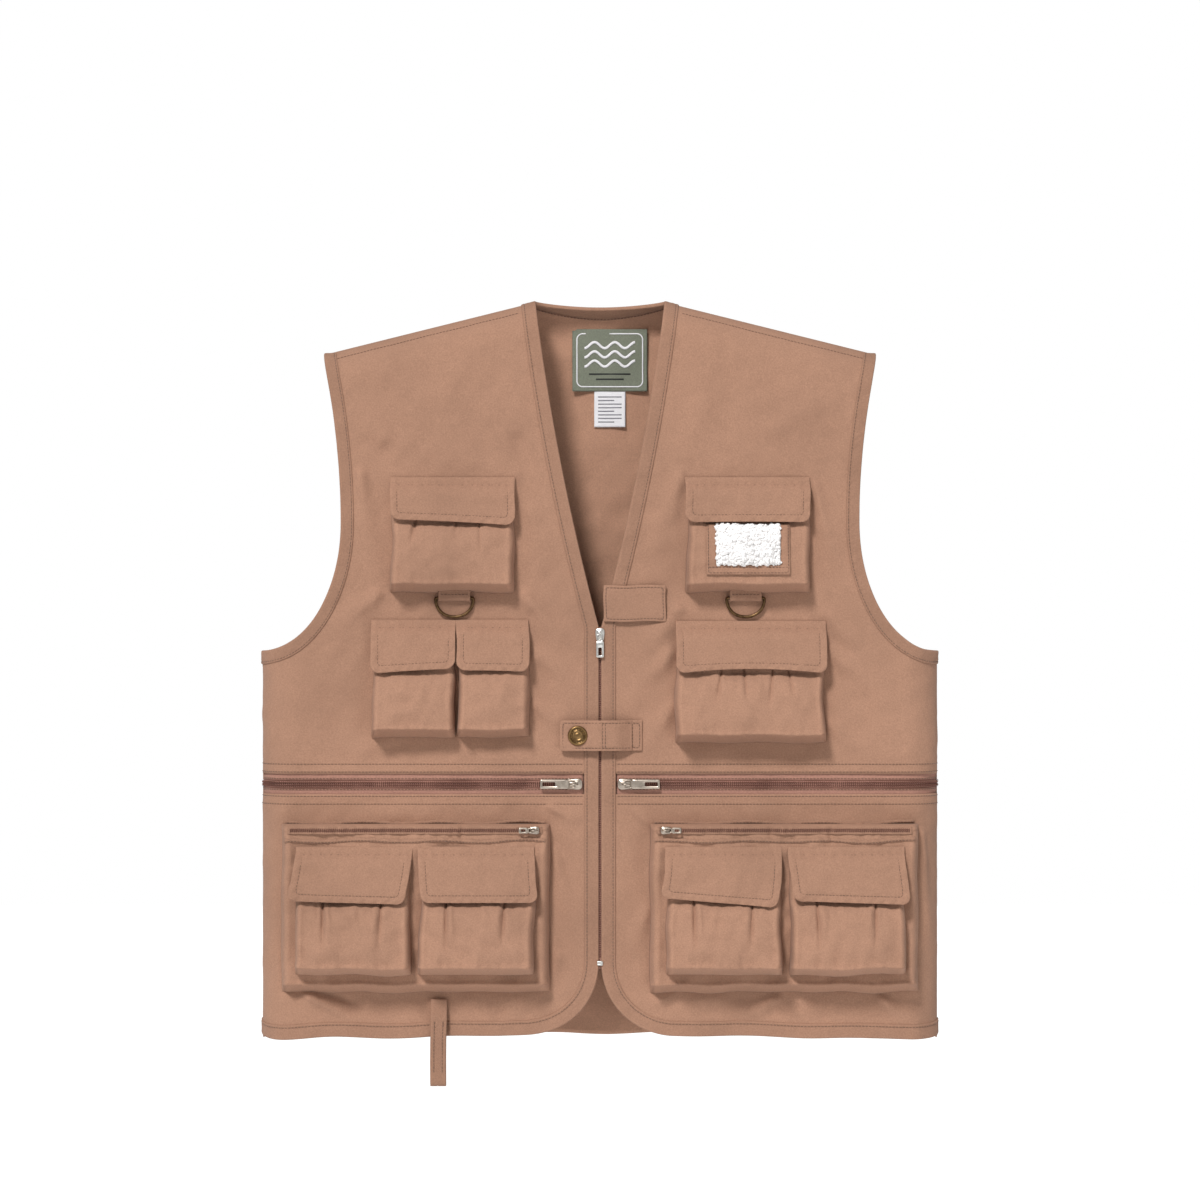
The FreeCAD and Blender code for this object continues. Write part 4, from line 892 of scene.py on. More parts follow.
def add_slab(builder, outline, low, high, place, bevel=0.3, hole=None):
    """An outline in X and Z given thickness along -Y with bevelled edges, and a hole where one is given."""
    outline = np.asarray(outline, float)

    def ring(curve, inset, depth):
        """One outline at a depth, drawn in towards its middle."""
        middle = curve.mean(0)
        reach = np.linalg.norm(curve - middle, axis=1, keepdims=True)
        moved = middle + (curve - middle) * (1 - inset / np.maximum(reach, 1e-6))
        return np.stack([moved[:, 0], np.full(len(curve), -depth), moved[:, 1]], 1)

    rings = [ring(outline, bevel, low), ring(outline, 0, low + bevel), ring(outline, 0, high - bevel),
             ring(outline, bevel, high)]
    if hole is not None:
        inner = np.asarray(hole, float)
        rings += [ring(inner, -bevel, high), ring(inner, 0, high - bevel), ring(inner, 0, low + bevel),
                  ring(inner, -bevel, low)]
    points = np.stack(rings, axis=0 if hole is None else 1) + np.asarray(place, float)
    add_section(builder, points, closed_path=hole is not None)


def base_depth(x):
    """How far the front's outer face stands towards the front at a distance from the middle."""
    over = np.clip((np.abs(x) - SIDE_X) / ROUND, 0, 1)
    return ROUND * np.sqrt(1 - over**2)


# ------------------------------------------------------------------ pockets
SURFACES = {}                              # each pocket's front, for what is sewn on it
# (distance in, share of the depth) up a pocket's side and bottom gussets
WALL = [(0.0, 0.0), (0.25, 0.22), (0.55, 0.5), (1.0, 0.76), (1.8, 0.93), (2.8, 1.03), (3.6, 1.06), (4.6, 1.02),
        (6.0, 0.985), (8.0, 0.99), (11.0, 1.0)]
BOTTOM = [(0.0, 0.0), (0.25, 0.1), (2.2, 0.38), (4.4, 0.68), (6.2, 0.92), (7.1, 1.03), (8.0, 1.06), (9.2, 1.0),
          (11.5, 0.97), (15.0, 0.985), (20.0, 1.0)]
SIDE_REACH = 1.35                          # how much deeper than WALL most side gussets are
MOUTH = 6.0                                # how far a pouch's mouth stands off what it is sewn to


def wall_profile(inset, reach=1.0, wall=WALL):
    """Share of a pocket's depth at a distance in from its side: a soft gusset and a pinched front edge."""
    distance, share = np.transpose(wall)
    return np.interp(inset, distance * reach, share)


def wall_steps(half, count, reach=1.0):
    """Places across a pocket, crowded where its gussets turn."""
    edge = np.array([distance for distance, _ in WALL]) * reach
    inner = np.linspace(-(half - edge[-1]), half - edge[-1], count)[1:-1]
    return np.concatenate([-half + edge, inner, half - edge[::-1]])


def make_pouch(name, base, mouth, folds, seed, bulge, gather=0.5, closed_top=False, tilt=0.0, covered=0.0,
               sag=2.6, reach=SIDE_REACH):
    """A bellows pocket as one folded sheet: its depth runs from the mouth's at the top to the gusset's below,
    times the wall profile at its edges, plus a bulge, a hollow under the flap, pleats and gathers."""
    low, high = node_box(name)
    center, half = (low[0] + high[0]) / 2, (high[0] - low[0]) / 2
    height = high[2] - low[2]
    deep = -low[1] - base
    across = wall_steps(half, max(44, int(half * 1.3)), reach)
    edge = np.array([distance for distance, _ in WALL])
    foot = np.array([distance for distance, _ in BOTTOM])
    top = edge if closed_top else np.array([0.0, 0.6, 2.0, 4.0, 5.0, 6.0, 8.0])
    down = np.concatenate([top, np.linspace(top[-1], height - foot[-1], max(24, int(height / 1.8)))[1:-1],
                           height - foot[::-1]])
    u, w = np.meshgrid(across, down)
    x, z = center + u, high[2] - w
    depth = mouth + (deep - mouth) * w / height
    below_flap = smooth_step((w - covered + 3) / 13) if covered else 1 + 0 * w
    open_run = np.clip((w - covered) / (height - covered), 0, 1)
    depth = depth - (1.6 * (1 - below_flap) if covered else 0)
    crown = (1 - np.abs(u / half) ** 2.2) * np.sin(math.pi * np.clip(open_run, 0, 1) ** 0.75) ** 0.8
    depth = depth + bulge * crown
    dents = ripple(x, z, 46, seed) + 0.5 * ripple(x, z, 19, seed + 1)
    depth = depth + (0.25 + 0.75 * below_flap) * dents
    if covered:
        hollow = np.exp(-(np.clip(w - covered - 1, 0, None) / 5.5) ** 2) * (1 - np.abs(u / half) ** 4)
        depth = depth - sag * hollow * (0.75 + 0.45 * ripple(x, 0 * x, 33, seed + 5))
    waves = np.sin(2 * math.pi * u / 11 + 2.6 * ripple(x, z, 40, seed + 2))
    depth = depth + gather * waves * (0.3 + 0.7 * below_flap) * np.exp(-np.clip(w - covered, 0, None) / 12)
    depth = depth + 0.35 * np.sin(2 * math.pi * u / 8.1 + seed) * np.exp(-((height - w - 7) / 6) ** 2)
    for fold in folds:
        start = (center + fold[0] * half, high[2] - covered - fold[1] * (height - covered))
        end = (center + fold[2] * half, high[2] - covered - fold[3] * (height - covered))
        standing = below_flap if fold[5] > 0 else 1.0
        depth = depth + standing * crease(x, z, start, end, *fold[4:], power=0.7, from_mouth=fold[5] < 0)
    share = wall_profile(half - np.abs(u), reach) * wall_profile(height - w, 1.0, BOTTOM)
    if closed_top:
        share = share * wall_profile(w)
    depth = np.maximum(depth, 1.0)
    sway = 1.3 * ripple(z, 0 * z, 60, seed + 4) * (np.abs(u) / half) ** 3 * np.sin(math.pi * w / height)
    z = z + 0.7 * ripple(x, 0 * x, 55, seed + 6) * np.exp(-((height - w) / 14) ** 2)
    x = x + sway + tilt * (z - high[2]) + (0.0 if closed_top else 0.035) * u * (w / height - 0.6)
    below = base_depth(x) if base == ROUND else base + 0 * x
    points = np.stack([x, -(below + 0.35 + depth * share), z - tilt * u], axis=-1)
    builder = Builder()
    # the hem, the turns of the side gussets and the bottom edge are painted paler: wear and a painted highlight on
    # these ridges
    hem = np.clip(1.2 - w / 3, 0, 1) if not closed_top else 0 * w
    worn_and_highlit = np.maximum(hem, np.exp(-((half - np.abs(u) - 3.4 * reach) / 1.4) ** 2))
    worn_and_highlit = np.maximum(worn_and_highlit, np.exp(-((height - w - 7.6) / 1.2) ** 2))
    flat = np.stack([u + depth * np.sign(u) * (half - np.abs(u) < 2), w], -1)
    add_plate(builder, points, 0.9, flat, worn_and_highlit)
    builder.make(name + "_cloth", MATERIALS["poplin"], "garment", replaces=[name], slot="poplin")
    SURFACES[name] = (across + center, down, points, high[2])


def front_of(pocket):
    """A function that reads how deep a pocket's front stands at (x, z), from the middle of the vest."""
    across, down, points, top = SURFACES[pocket]

    def depth_at(x, z):
        """Distance of the front from the plane Y = 0."""
        spots = np.stack([np.ravel(x), top - np.ravel(z)], 1)
        return -surface_at(across, down, points, spots)[:, 1].reshape(np.shape(x))

    return depth_at


def surface_at(across, down, points, rows):
    """Read a grid surface at (across, down) places by bilinear interpolation."""
    column = np.interp(rows[:, 0], across, np.arange(len(across)))
    row = np.interp(rows[:, 1], down, np.arange(len(down)))
    left, top = np.floor(column).astype(int), np.floor(row).astype(int)
    right, bottom = np.minimum(left + 1, len(across) - 1), np.minimum(top + 1, len(down) - 1)
    part, fall = (column - left)[:, None], (row - top)[:, None]
    upper = points[top, left] * (1 - part) + points[top, right] * part
    lower = points[bottom, left] * (1 - part) + points[bottom, right] * part
    return upper * (1 - fall) + lower * fall


def softened(values, reach):
    """A running mean that keeps its ends."""
    count = 2 * reach + 1
    return np.convolve(np.pad(values, reach, mode="edge"), np.ones(count) / count, mode="valid")


def flap_profile(length, slope):
    """(fall, depth) of a flap's middle: flat under its seam, out over the mouth, then along the pocket."""
    knots = np.array([(-0.6, 0.9), (0.0, 1.15), (2.6, 1.3), (4.6, 2.2), (6.8, 4.3), (9.0, MOUTH + 0.6),
                      (11.5, MOUTH + 1.9), (15.0, MOUTH + 2.2 + slope * 5),
                      (length, MOUTH + 1.6 + slope * (length - 10))])
    fall = np.linspace(-0.6, length, 200)
    return fall, softened(np.interp(fall, knots[:, 0], knots[:, 1]), 4)


def make_flap(stitches, name, pocket, base, seed, corner, arch=0.0, lean=0.0, slant=0.0, folds=()):
    """A lined flap: its profile carried across, with rounded lower corners, a topstitched edge and ripples.

    It hangs askew by its lean, sideways for each length down, and its slant, down for each width across.
    """
    low, high = node_box(name)
    pocket_low, pocket_high = node_box(pocket)
    center, half = (low[0] + high[0]) / 2, (high[0] - low[0]) / 2
    seam_z = high[2] - 0.4
    length = seam_z - low[2]
    slope = (-pocket_low[1] - base - MOUTH) / (pocket_high[2] - pocket_low[2])
    fall, depth_at = flap_profile(length, slope)
    share = np.linspace(-1, 1, max(48, int(half * 1.3)))
    share = np.sign(share) * (1 - (1 - np.abs(share)) ** 1.25)
    down = np.concatenate([[-0.6, 0.0, 1.4, 2.6, 4.0, 5.6], np.linspace(7, length - corner, 16),
                           length - corner + corner * np.sin(np.linspace(0.18, math.pi / 2, 9))])
    narrow = corner - np.sqrt(np.clip(corner**2 - np.clip(down - (length - corner), 0, None) ** 2, 0, None))
    narrow = np.minimum(narrow, corner * 0.93)
    u = share[None, :] * (half - narrow[:, None])
    w = np.broadcast_to(down[:, None], u.shape)
    lift = arch * (1 - (u / half) ** 2) * np.clip(w / length, 0, 1) ** 2
    z = seam_z - w + lift
    x = center + u + 0.5 * ripple(z, 0 * z, 40, seed) * np.abs(share[None, :]) ** 5
    depth = np.interp(w, fall, depth_at)
    free = smooth_step((w - 5) / 12)
    depth = depth + free * (0.6 * ripple(x, z, 52, seed) + 0.3 * ripple(x, z, 21, seed + 1) + 0.6)
    depth = depth + 2.0 * smooth_step((w - 14) / (length - 14)) ** 1.5
    depth = depth + 0.9 * np.exp(-((w - 2.6) / 2.0) ** 2) - 0.5 * np.exp(-((w - 6.2) / 1.0) ** 2)
    gathers = np.sin(2 * math.pi * u / 8.3 + 1.9 * ripple(x, z, 50, seed + 3))
    depth = depth + 0.35 * gathers * np.exp(-((w - 7) / 5) ** 2)
    rim = np.minimum(half - narrow[:, None] - np.abs(u), length - w)
    depth = depth + 0.35 * free * np.sin(2 * math.pi * (u + w) / 9.5 + seed) * np.exp(-(rim / 7) ** 2)
    for fold in folds:
        start = (center + fold[0] * half, seam_z - fold[1] * length)
        end = (center + fold[2] * half, seam_z - fold[3] * length)
        depth = depth + free * crease(x, z, start, end, *fold[4:], power=0.7)
    soft = 1 - np.exp(-np.clip(rim, 0, None) / 1.1)
    groove = np.exp(-((rim - 6.0) / 0.9) ** 2) * (w > 7)
    thick = 1.15 + 1.0 * soft - 0.95 * groove
    thick = np.where(w < 3, np.minimum(thick, 1.5), thick)
    hang = smooth_step((w - 3) / (length - 3))
    x = x + lean * length * hang
    points = np.stack([x, -(base + depth), z - slant * u * hang], -1)
    builder = Builder()
    # the rim is painted paler: wear and a painted highlight on the folded edge
    add_plate(builder, points, thick, np.stack([u, w], -1), np.exp(-np.clip(rim, 0, None) / 1.3))
    builder.make(name + "_cloth", MATERIALS["flap"], name, replaces=[name], slot="poplin")
    inset = 6.0
    bend = np.linspace(0, math.pi / 2, 9)
    turn = max(corner - inset, 2.0)
    side = half - inset
    run = np.concatenate([[[side, 7.0]], np.stack([side - turn + turn * np.cos(bend),
                                                  length - inset - turn + turn * np.sin(bend)], 1)])
    run = np.concatenate([run, run[::-1] * [-1.0, 1.0]])
    for row, stand in ((run, 0.66), (np.array([[-side, 6.2], [side, 6.2]]), 1.1)):
        row = resample(row, step=SEAM_STEP)
        far = half - np.interp(row[:, 1], down, narrow)
        surface = surface_at(share, down, points, np.stack([row[:, 0] / far, row[:, 1]], 1))
        surface[:, 1] -= stand
        stitches.append((surface, name))


def covered_by(name):
    """Length of a pocket that its closed flap hides."""
    return node_box(name + "_pocket")[1][2] - node_box(name + "_flap")[0][2]


# ------------------------------------------------------------------ zips and hardware
def helix(start, end, radius, pitch, lean=0.0, steps=9, flatten=0.8):
    """A coil between two points that lie along X or Z: a circle carried along the line between them."""
    start, end = np.asarray(start, float), np.asarray(end, float)
    run = np.linalg.norm(end - start)
    count = int(run / pitch * steps)
    share = np.linspace(0, 1, count)
    angle = share * run / pitch * 2 * math.pi
    along = (end - start) / run
    side = np.cross(along, [0.0, 1.0, 0.0])
    out = np.array([0.0, -1.0, 0.0])
    return (start + share[:, None] * (end - start) + radius * np.cos(angle)[:, None] * side
            + flatten * radius * np.sin(angle)[:, None] * out + lean * np.cos(angle)[:, None] * along)


def on_yoke(path):
    """Bend a straight run laid across the front round the side: X is girth and -Y is lift off the front."""
    girth, lift, z = path[:, 0], -path[:, 1] - ROUND, path[:, 2]
    turned = np.clip((np.abs(girth) - SIDE_X) / ROUND, 0, math.pi / 2)
    x = girth_x(girth) + np.sign(girth) * lift * np.sin(turned)
    return np.stack([x, -(ROUND + lift) * np.cos(turned), z], axis=-1)


def make_cross_zips(stitches):
    """Each front's cross zip: tape from the facing to the side seam, and two coils with a ridge between."""
    low, high = node_box("cross_zip_chains")
    level = (low[2] + high[2]) / 2
    start = EDGE_X + BAND + 1
    end = GIRTH - 1.5
    tape, coil = Builder(), Builder()
    for side in (1, -1):
        girth, rise = np.meshgrid(np.linspace(start, end, 110), np.linspace(13.5, -13.5, 19))
        sway = 0.18 * ripple(girth * side, rise, 60, 41) + 0.1 * ripple(girth * side, rise, 18, 42)
        lift = -1.55 + sway * np.exp(-(rise / 6.5) ** 4) + 0.7 * np.exp(-(rise / 4.4) ** 2)
        points = np.stack([girth * side, -(ROUND + lift), level + rise], -1)
        bent = on_yoke(points.reshape(-1, 3)).reshape(points.shape)
        add_plate(tape, bent, 0.7, np.stack([girth, rise], -1))
        for shift in (1.15, -1.15):
            path = helix((start * side, -(ROUND - 0.05), level + shift),
                         ((end - 5) * side, -(ROUND - 0.05), level + shift), 0.82, 1.75, lean=0.5)
            add_tube(coil, on_yoke(path), 0.4, sides=5)
        for shift in (4.6, -4.6, 3.2, -3.2):
            run = np.linspace(start + 1, end - 4, 150)
            path = np.stack([run * side, np.full(150, -(ROUND - 0.5)), np.full(150, level + shift)], 1)
            if abs(shift) > 4:
                stitches.append((on_yoke(path), "garment"))
            else:
                add_tube(coil, on_yoke(resample(path, count=90)), 0.34, sides=5)
    tape.make("cross_zip_tapes", MATERIALS["tape"], "garment", replaces=["cross_zip_chains"], slot="zip_tape")
    coil.make("cross_zip_coils", MATERIALS["coil"], "garment", slot="zip_tape")


def make_front_zip():
    """Tape and coil behind the two free edges of the front."""
    low, high = node_box("front_zip_chain")
    tape, coil = Builder(), Builder()
    x, z = np.meshgrid(np.linspace(low[0], high[0], 13), np.linspace(high[2], low[2], 90))
    y = -28.1 + 0.3 * ripple(x, z, 50, 51) * (np.abs(x) / 14) - 0.5 * np.exp(-(x / 1.6) ** 2)
    add_plate(tape, np.stack([x, y, z], -1), 0.7, np.stack([x, -z], -1))
    for shift in (0.55, -0.55):
        path = helix((shift, -28.9, high[2] - 4), (shift, -28.9, low[2] + 10), 0.62, 1.6, lean=0.35, steps=8)
        add_tube(coil, path, 0.3, sides=5)
    tape.make("front_zip_tape", MATERIALS["tape"], "garment", replaces=["front_zip_chain"], slot="zip_tape")
    coil.make("front_zip_coil", MATERIALS["coil"], "garment", slot="zip_tape")
    low, high = node_box("front_zip_stop")
    stop = Builder()
    middle = (low[2] + high[2]) / 2
    add_slab(stop, rounded_outline((high[0] - low[0]) / 2, (high[2] - low[2]) / 2, 0.9), 0.0,
             high[1] - low[1] - 0.4, (0.0, high[1] - 0.2, middle), bevel=0.5)
    for rise in (-1.1, 1.1):
        place = (0.0, low[1] + 0.35, middle + rise)
        add_slab(stop, rounded_outline(2.1, 0.45, 0.4), 0.0, 0.45, place, bevel=0.2)
    stop.make("front_zip_bottom_stop", MATERIALS["nickel"], "garment", replaces=["front_zip_stop"],
              slot="nickel")


def turned_to(way):
    """Axes that carry a slider's own length along X and width along Z to its zip's direction."""
    if way == "down":
        return np.array([[0.0, 0.0, -1.0], [0.0, 1.0, 0.0], [1.0, 0.0, 0.0]])
    side = 1.0 if way == "left" else -1.0
    return np.array([[side, 0.0, 0.0], [0.0, 1.0, 0.0], [0.0, 0.0, side]])


class Turned(Builder):
    """A builder that turns what is added to it and moves it into place."""

    def __init__(self, axes, place):
        super().__init__()
        self.axes, self.place = axes, np.asarray(place, float)

    def add(self, points, faces, flat=None, edge=None):
        points = np.asarray(points, float).reshape(-1, 3)
        super().add(points @ self.axes + self.place, faces, flat if flat is not None else points[:, [0, 2]], edge)


def slider_outline(length, width):
    """A shield: broad and round where the coils enter, narrowing towards the closed end."""
    angle = np.linspace(0, 2 * math.pi, 48, endpoint=False)
    x = np.sign(np.cos(angle)) * np.abs(np.cos(angle)) ** 0.62
    z = np.sign(np.sin(angle)) * np.abs(np.sin(angle)) ** 0.62
    return np.stack([x * length / 2, z * width / 2 * (1 - 0.16 * x - 0.1 * (x > 0.6) * (x - 0.6))], 1)


def make_slider(name, way, metal_name):
    """A slider: shaped plate, raised rails, two flanges and the arch that carries the pull."""
    low, high = node_box(name)
    span_x, span_z = (high[0] - low[0], high[2] - low[2])
    length, width = (span_z, span_x) if way == "down" else (span_x, span_z)
    arch_top = low[1]
    plate_top = arch_top + 3.2
    place = ((low[0] + high[0]) / 2, plate_top, (low[2] + high[2]) / 2)
    builder = Turned(turned_to(way), place)
    add_slab(builder, slider_outline(length, width), -1.2, 0.0, (0, 0, 0), bevel=0.4)
    add_slab(builder, slider_outline(length * 0.82, width * 0.66), -0.1, 0.45, (0, 0, 0), bevel=0.25)
    skirt = high[1] - plate_top - 1.2
    if way != "down":
        for side in (-1, 1):
            rail = rounded_outline(length / 2 - 1.2, 0.45, 0.4, 28)
            add_slab(builder, rail, -1.2 - skirt, -1.1, (0, 0, side * (width / 2 - 0.6)), bevel=0.2)
    bow = np.linspace(0, math.pi, 19)
    arch = np.stack([3.0 * np.cos(bow), -0.2 - 2.75 * np.sin(bow) ** 0.75, 0 * bow], 1)
    add_tube(builder, arch, 0.62, sides=10, flatten=0.8, up=(0.0, 0.0, 1.0))
    builder.make(name + "_body", MATERIALS[metal_name], name, replaces=[name],
                 slot="nickel" if metal_name == "nickel" else "bronze_nickel")


def make_pull(name, way, metal_name):
    """A pull: a loop round the arch, a waist and a broad tab with a slot."""
    low, high = node_box(name)
    length = (high[2] - low[2]) if way == "down" else (high[0] - low[0])
    width = (high[0] - low[0]) if way == "down" else (high[2] - low[2])
    depth = (low[1] + high[1]) / 2
    if way == "down":
        place = (0.0, depth, high[2] - 0.8)
    else:
        place = (low[0] + 0.8 if way == "left" else high[0] - 0.8, depth, (low[2] + high[2]) / 2)
    builder = Turned(turned_to(way), place)
    reach = length - 0.8
    count = 44
    eye = 4.9
    near = rounded_outline(eye / 2 + 0.75, width / 2 * 0.92, 1.6, count) + [eye / 2 - 0.35, 0]
    near_hole = rounded_outline(eye / 2 - 0.25, width / 2 - 1.35, 0.7, count) + [eye / 2 - 0.35, 0]
    add_slab(builder, near, -0.5, 0.5, (0, 0, 0), bevel=0.28, hole=near_hole)
    neck_start = eye + 0.1
    slot_start, slot_end = reach * 0.56, reach - 1.9
    far_middle = (neck_start + reach) / 2
    far = rounded_outline((reach - neck_start) / 2, width / 2, 1.1, count) + [far_middle, 0]
    hole_half = (slot_end - slot_start) / 2
    hole = rounded_outline(hole_half, width * 0.22, 0.7, count) + [(slot_start + slot_end) / 2, 0]
    add_slab(builder, far, -0.55, 0.55, (0, 0, 0), bevel=0.3, hole=hole)
    builder.make(name + "_tab", MATERIALS[metal_name], name, replaces=[name],
                 slot="nickel" if metal_name == "nickel" else "bronze_nickel")


def make_cross_stops():
    """Moulded white end stops of the cross zips."""
    low, high = node_box("cross_zip_stops")
    builder = Builder()
    for side in (1, -1):
        girth = np.linspace(GIRTH - 6.2, GIRTH - 1.8, 7)
        level = (low[2] + high[2]) / 2
        for row in (1.7, -1.7):
            path = np.stack([girth * side, np.full(7, -(ROUND + 0.1)), np.full(7, level + row)], 1)
            add_tube(builder, on_yoke(path), 1.35, sides=10, flatten=0.8)
    builder.make("cross_zip_end_stops", MATERIALS["white"], "garment", replaces=["cross_zip_stops"], slot="nickel")


def make_ring(name):
    """A cast D-ring: one closed wire, its bar straight and its bow half round."""
    low, high = node_box(name)
    wire = 1.4
    middle = ((low[0] + high[0]) / 2, (low[1] + high[1]) / 2, high[2] - wire)
    radius = (high[0] - low[0]) / 2 - wire
    bend = np.linspace(0, math.pi, 41)
    drop = (high[2] - low[2]) - 2 * wire
    bow = np.stack([radius * np.cos(bend), 0 * bend, -np.sin(bend) ** 0.85 * drop], 1)
    bar = np.stack([np.linspace(-radius, radius, 15)[1:-1], np.zeros(13), np.zeros(13)], 1)
    path = np.concatenate([bow, bar]) + middle
    around = np.concatenate([path, path[:1]])
    smooth = resample(around, count=91)[:-1]
    for _ in range(2):
        smooth = (np.roll(smooth, 1, axis=0) + 2 * smooth + np.roll(smooth, -1, axis=0)) / 4
    builder = Builder()
    add_tube(builder, smooth, wire * 0.96, sides=14, closed=True)
    builder.make(name + "_wire", MATERIALS["dark_brass"], name, replaces=[name], slot="antique_brass")


def make_ring_tabs(stitches):
    """Folded tabs that carry the rings: a strap over the bar with its two layers sewn above it."""
    top = node_box("ring_tabs")[1][2]
    builder = Builder()
    for word in ("left", "right"):
        ring_low, ring_high = node_box("d_ring_" + word)
        center = (ring_low[0] + ring_high[0]) / 2
        bar_z = ring_high[2] - 1.4
        half = 13.5
        turn = np.linspace(0, math.pi, 13)
        over_bar = np.stack([bar_z - 2.4 * np.sin(turn), 2.9 + 2.5 * np.cos(turn)], 1)
        section = np.concatenate([[[top + 3.5, 5.2], [top + 1.5, 5.6], [top - 1.0, 5.5]], over_bar])
        across = np.linspace(-half, half, 25)
        z = np.broadcast_to(section[:, :1], (len(section), 25))
        wave = 0.25 * ripple(across[None, :] + center, z, 14, 61)
        depth = section[:, 1:] + wave
        x = np.broadcast_to(center + across, z.shape)
        points = np.stack([x, -(ROUND + depth), z], -1)
        # the side edges are painted paler: wear and a painted highlight
        add_plate(builder, points, 1.0, np.stack([x, z], -1), np.broadcast_to(np.abs(across / half) ** 8, z.shape))
        row = center + np.linspace(-half + 1.5, half - 1.5, 9)
        stitches.append((np.stack([row, np.full(9, -(ROUND + 6.15)), np.full(9, top - 2.4)], 1), "garment"))
    builder.make("ring_tab_straps", MATERIALS["binding"], "garment", replaces=["ring_tabs"], slot="poplin")


def make_closure_strap(stitches):
    """The strap across the zip: a doubled band, bowed over the slit, its end sewn down beside the tab."""
    low, high = node_box("closure_strap")
    half = (high[2] - low[2]) / 2
    level = (high[2] + low[2]) / 2
    reach = -low[0]
    knots_x = np.array([27.4, 25.5, 21.0, 15.0, 6.0, -2.0, -6.5, -10.0, -16.0, -26.0, -reach])
    knots_d = np.array([1.4, 1.8, 4.2, 7.3, 7.9, 7.9, 7.5, 5.8, 5.35, 5.4, 5.1])
    along = np.linspace(27.2, -reach, 76)
    depth = np.interp(-along, -knots_x, knots_d)
    depth = softened(depth, 3)
    rise = np.linspace(1, -1, 31)
    rise = np.sign(rise) * (1 - (1 - np.abs(rise)) ** 1.2)
    x, v = np.meshgrid(along, rise * half)
    corner = 2.2
    narrow = np.clip(corner - (x + reach), 0, None)
    v = v * (1 - (1 - np.sqrt(np.clip(1 - (narrow / corner) ** 2, 0, 1))) * corner / half)
    rim = np.minimum(half - np.abs(v), x + reach)
    d = depth[None, :] + 0.22 * ripple(x, v, 17, 71) + 0.25 * np.sin(v / 5 + x / 9) * (np.abs(v) / half) ** 2
    double = np.exp(-((x - 2.2) / 0.8) ** 2) + np.exp(-((x - 4.6) / 0.8) ** 2) * 0.7
    groove = np.exp(-((rim - 2.4) / 0.8) ** 2) + double
    thick = 1.25 + 0.6 * (1 - np.exp(-np.clip(rim, 0, None) / 0.8)) - 0.5 * groove
    d = d + 0.35 * smooth_step((2.2 - x) / 2.0)
    points = np.stack([x, -(ROUND + d), level + v], -1)
    builder = Builder()
    # the rim is painted paler: wear and a painted highlight on the folded edge
    add_plate(builder, points, thick, np.stack([-x, v], -1), np.exp(-np.clip(rim, 0, None) / 0.9))
    builder.make("closure_strap_cloth", MATERIALS["flap"], "closure_strap", replaces=["closure_strap"],
                 slot="poplin")
    top = half - 2.4
    run = np.array([[26.0, top], [-reach + 2.4, top], [-reach + 2.4, -top], [26.0, -top]])
    run = resample(run, step=FINE_STEP)
    for path in (run, np.stack([np.full(9, 2.2), np.linspace(top, -top, 9)], 1),
                 np.stack([np.full(9, 4.6), np.linspace(top, -top, 9)], 1)):
        path = resample(path, step=FINE_STEP)
        level_at = np.interp(-path[:, 0], -along, depth) + 0.35 * smooth_step((2.2 - path[:, 0]) / 2.0)
        stitches.append((np.stack([path[:, 0], -(ROUND + level_at + 0.82), level + path[:, 1]], 1),
                         "closure_strap"))
    low, high = node_box("closure_strap_end")
    x, v = np.meshgrid(np.linspace(26.6, high[0], 18), rise * half)
    rim = np.minimum(half - np.abs(v), high[0] - x)
    d = 1.0 + 0.15 * ripple(x, v, 12, 72)
    thick = 0.9 + 0.7 * (1 - np.exp(-np.clip(rim, 0, None) / 0.8)) - 0.4 * np.exp(-((rim - 2.2) / 0.8) ** 2)
    points = np.stack([x, -(ROUND + d), level + v], -1)
    builder = Builder()
    # the rim is painted paler: wear and a painted highlight on the folded edge
    add_plate(builder, points, thick, np.stack([x, v], -1), np.exp(-np.clip(rim, 0, None) / 0.9))
    builder.make("closure_strap_sewn_end", MATERIALS["flap"], "garment", replaces=["closure_strap_end"],
                 slot="poplin")
    far = high[0] - 2.2
    path = resample([[27.8, top], [far, top], [far, -top], [27.8, -top], [27.8, top]], step=FINE_STEP)
    stitches.append((np.stack([path[:, 0], np.full(len(path), -(ROUND + 1.75)), level + path[:, 1]], 1),
                     "garment"))


def make_snap():
    """The press snap's cap: bright rolled rim, recessed ring with small teeth, and a turned middle."""
    back = node_box("snap_cap")[1][1] - 2.0
    center = sum(node_box("snap_stud")) / 2
    center[1] = back
    cap = Builder()
    add_lathe(cap, [(8.2, -0.05), (8.5, 0.35), (8.45, 1.1), (8.1, 1.75), (7.5, 2.1), (6.8, 2.05), (6.35, 1.6),
                    (6.2, 1.1), (5.5, 0.95), (4.9, 1.0), (4.7, 1.5), (4.3, 1.8), (3.6, 1.75), (3.2, 1.3),
                    (2.7, 1.2), (2.3, 1.5), (1.4, 1.75), (0.5, 1.8)], center, sides=56)
    cap.make("snap_cap_face", MATERIALS["brass"], "closure_strap", replaces=["snap_cap"], slot="antique_brass")
    teeth = Builder()
    for angle in np.linspace(0, 2 * math.pi, 16, endpoint=False):
        place = (center[0] + 5.5 * math.cos(angle), back - 0.8, center[2] + 5.5 * math.sin(angle))
        add_slab(teeth, rounded_outline(0.42, 0.42, 0.35, 12), 0.0, 0.55, place, bevel=0.15)
    teeth.make("snap_cap_teeth", MATERIALS["dark_brass"], "closure_strap", slot="antique_brass")


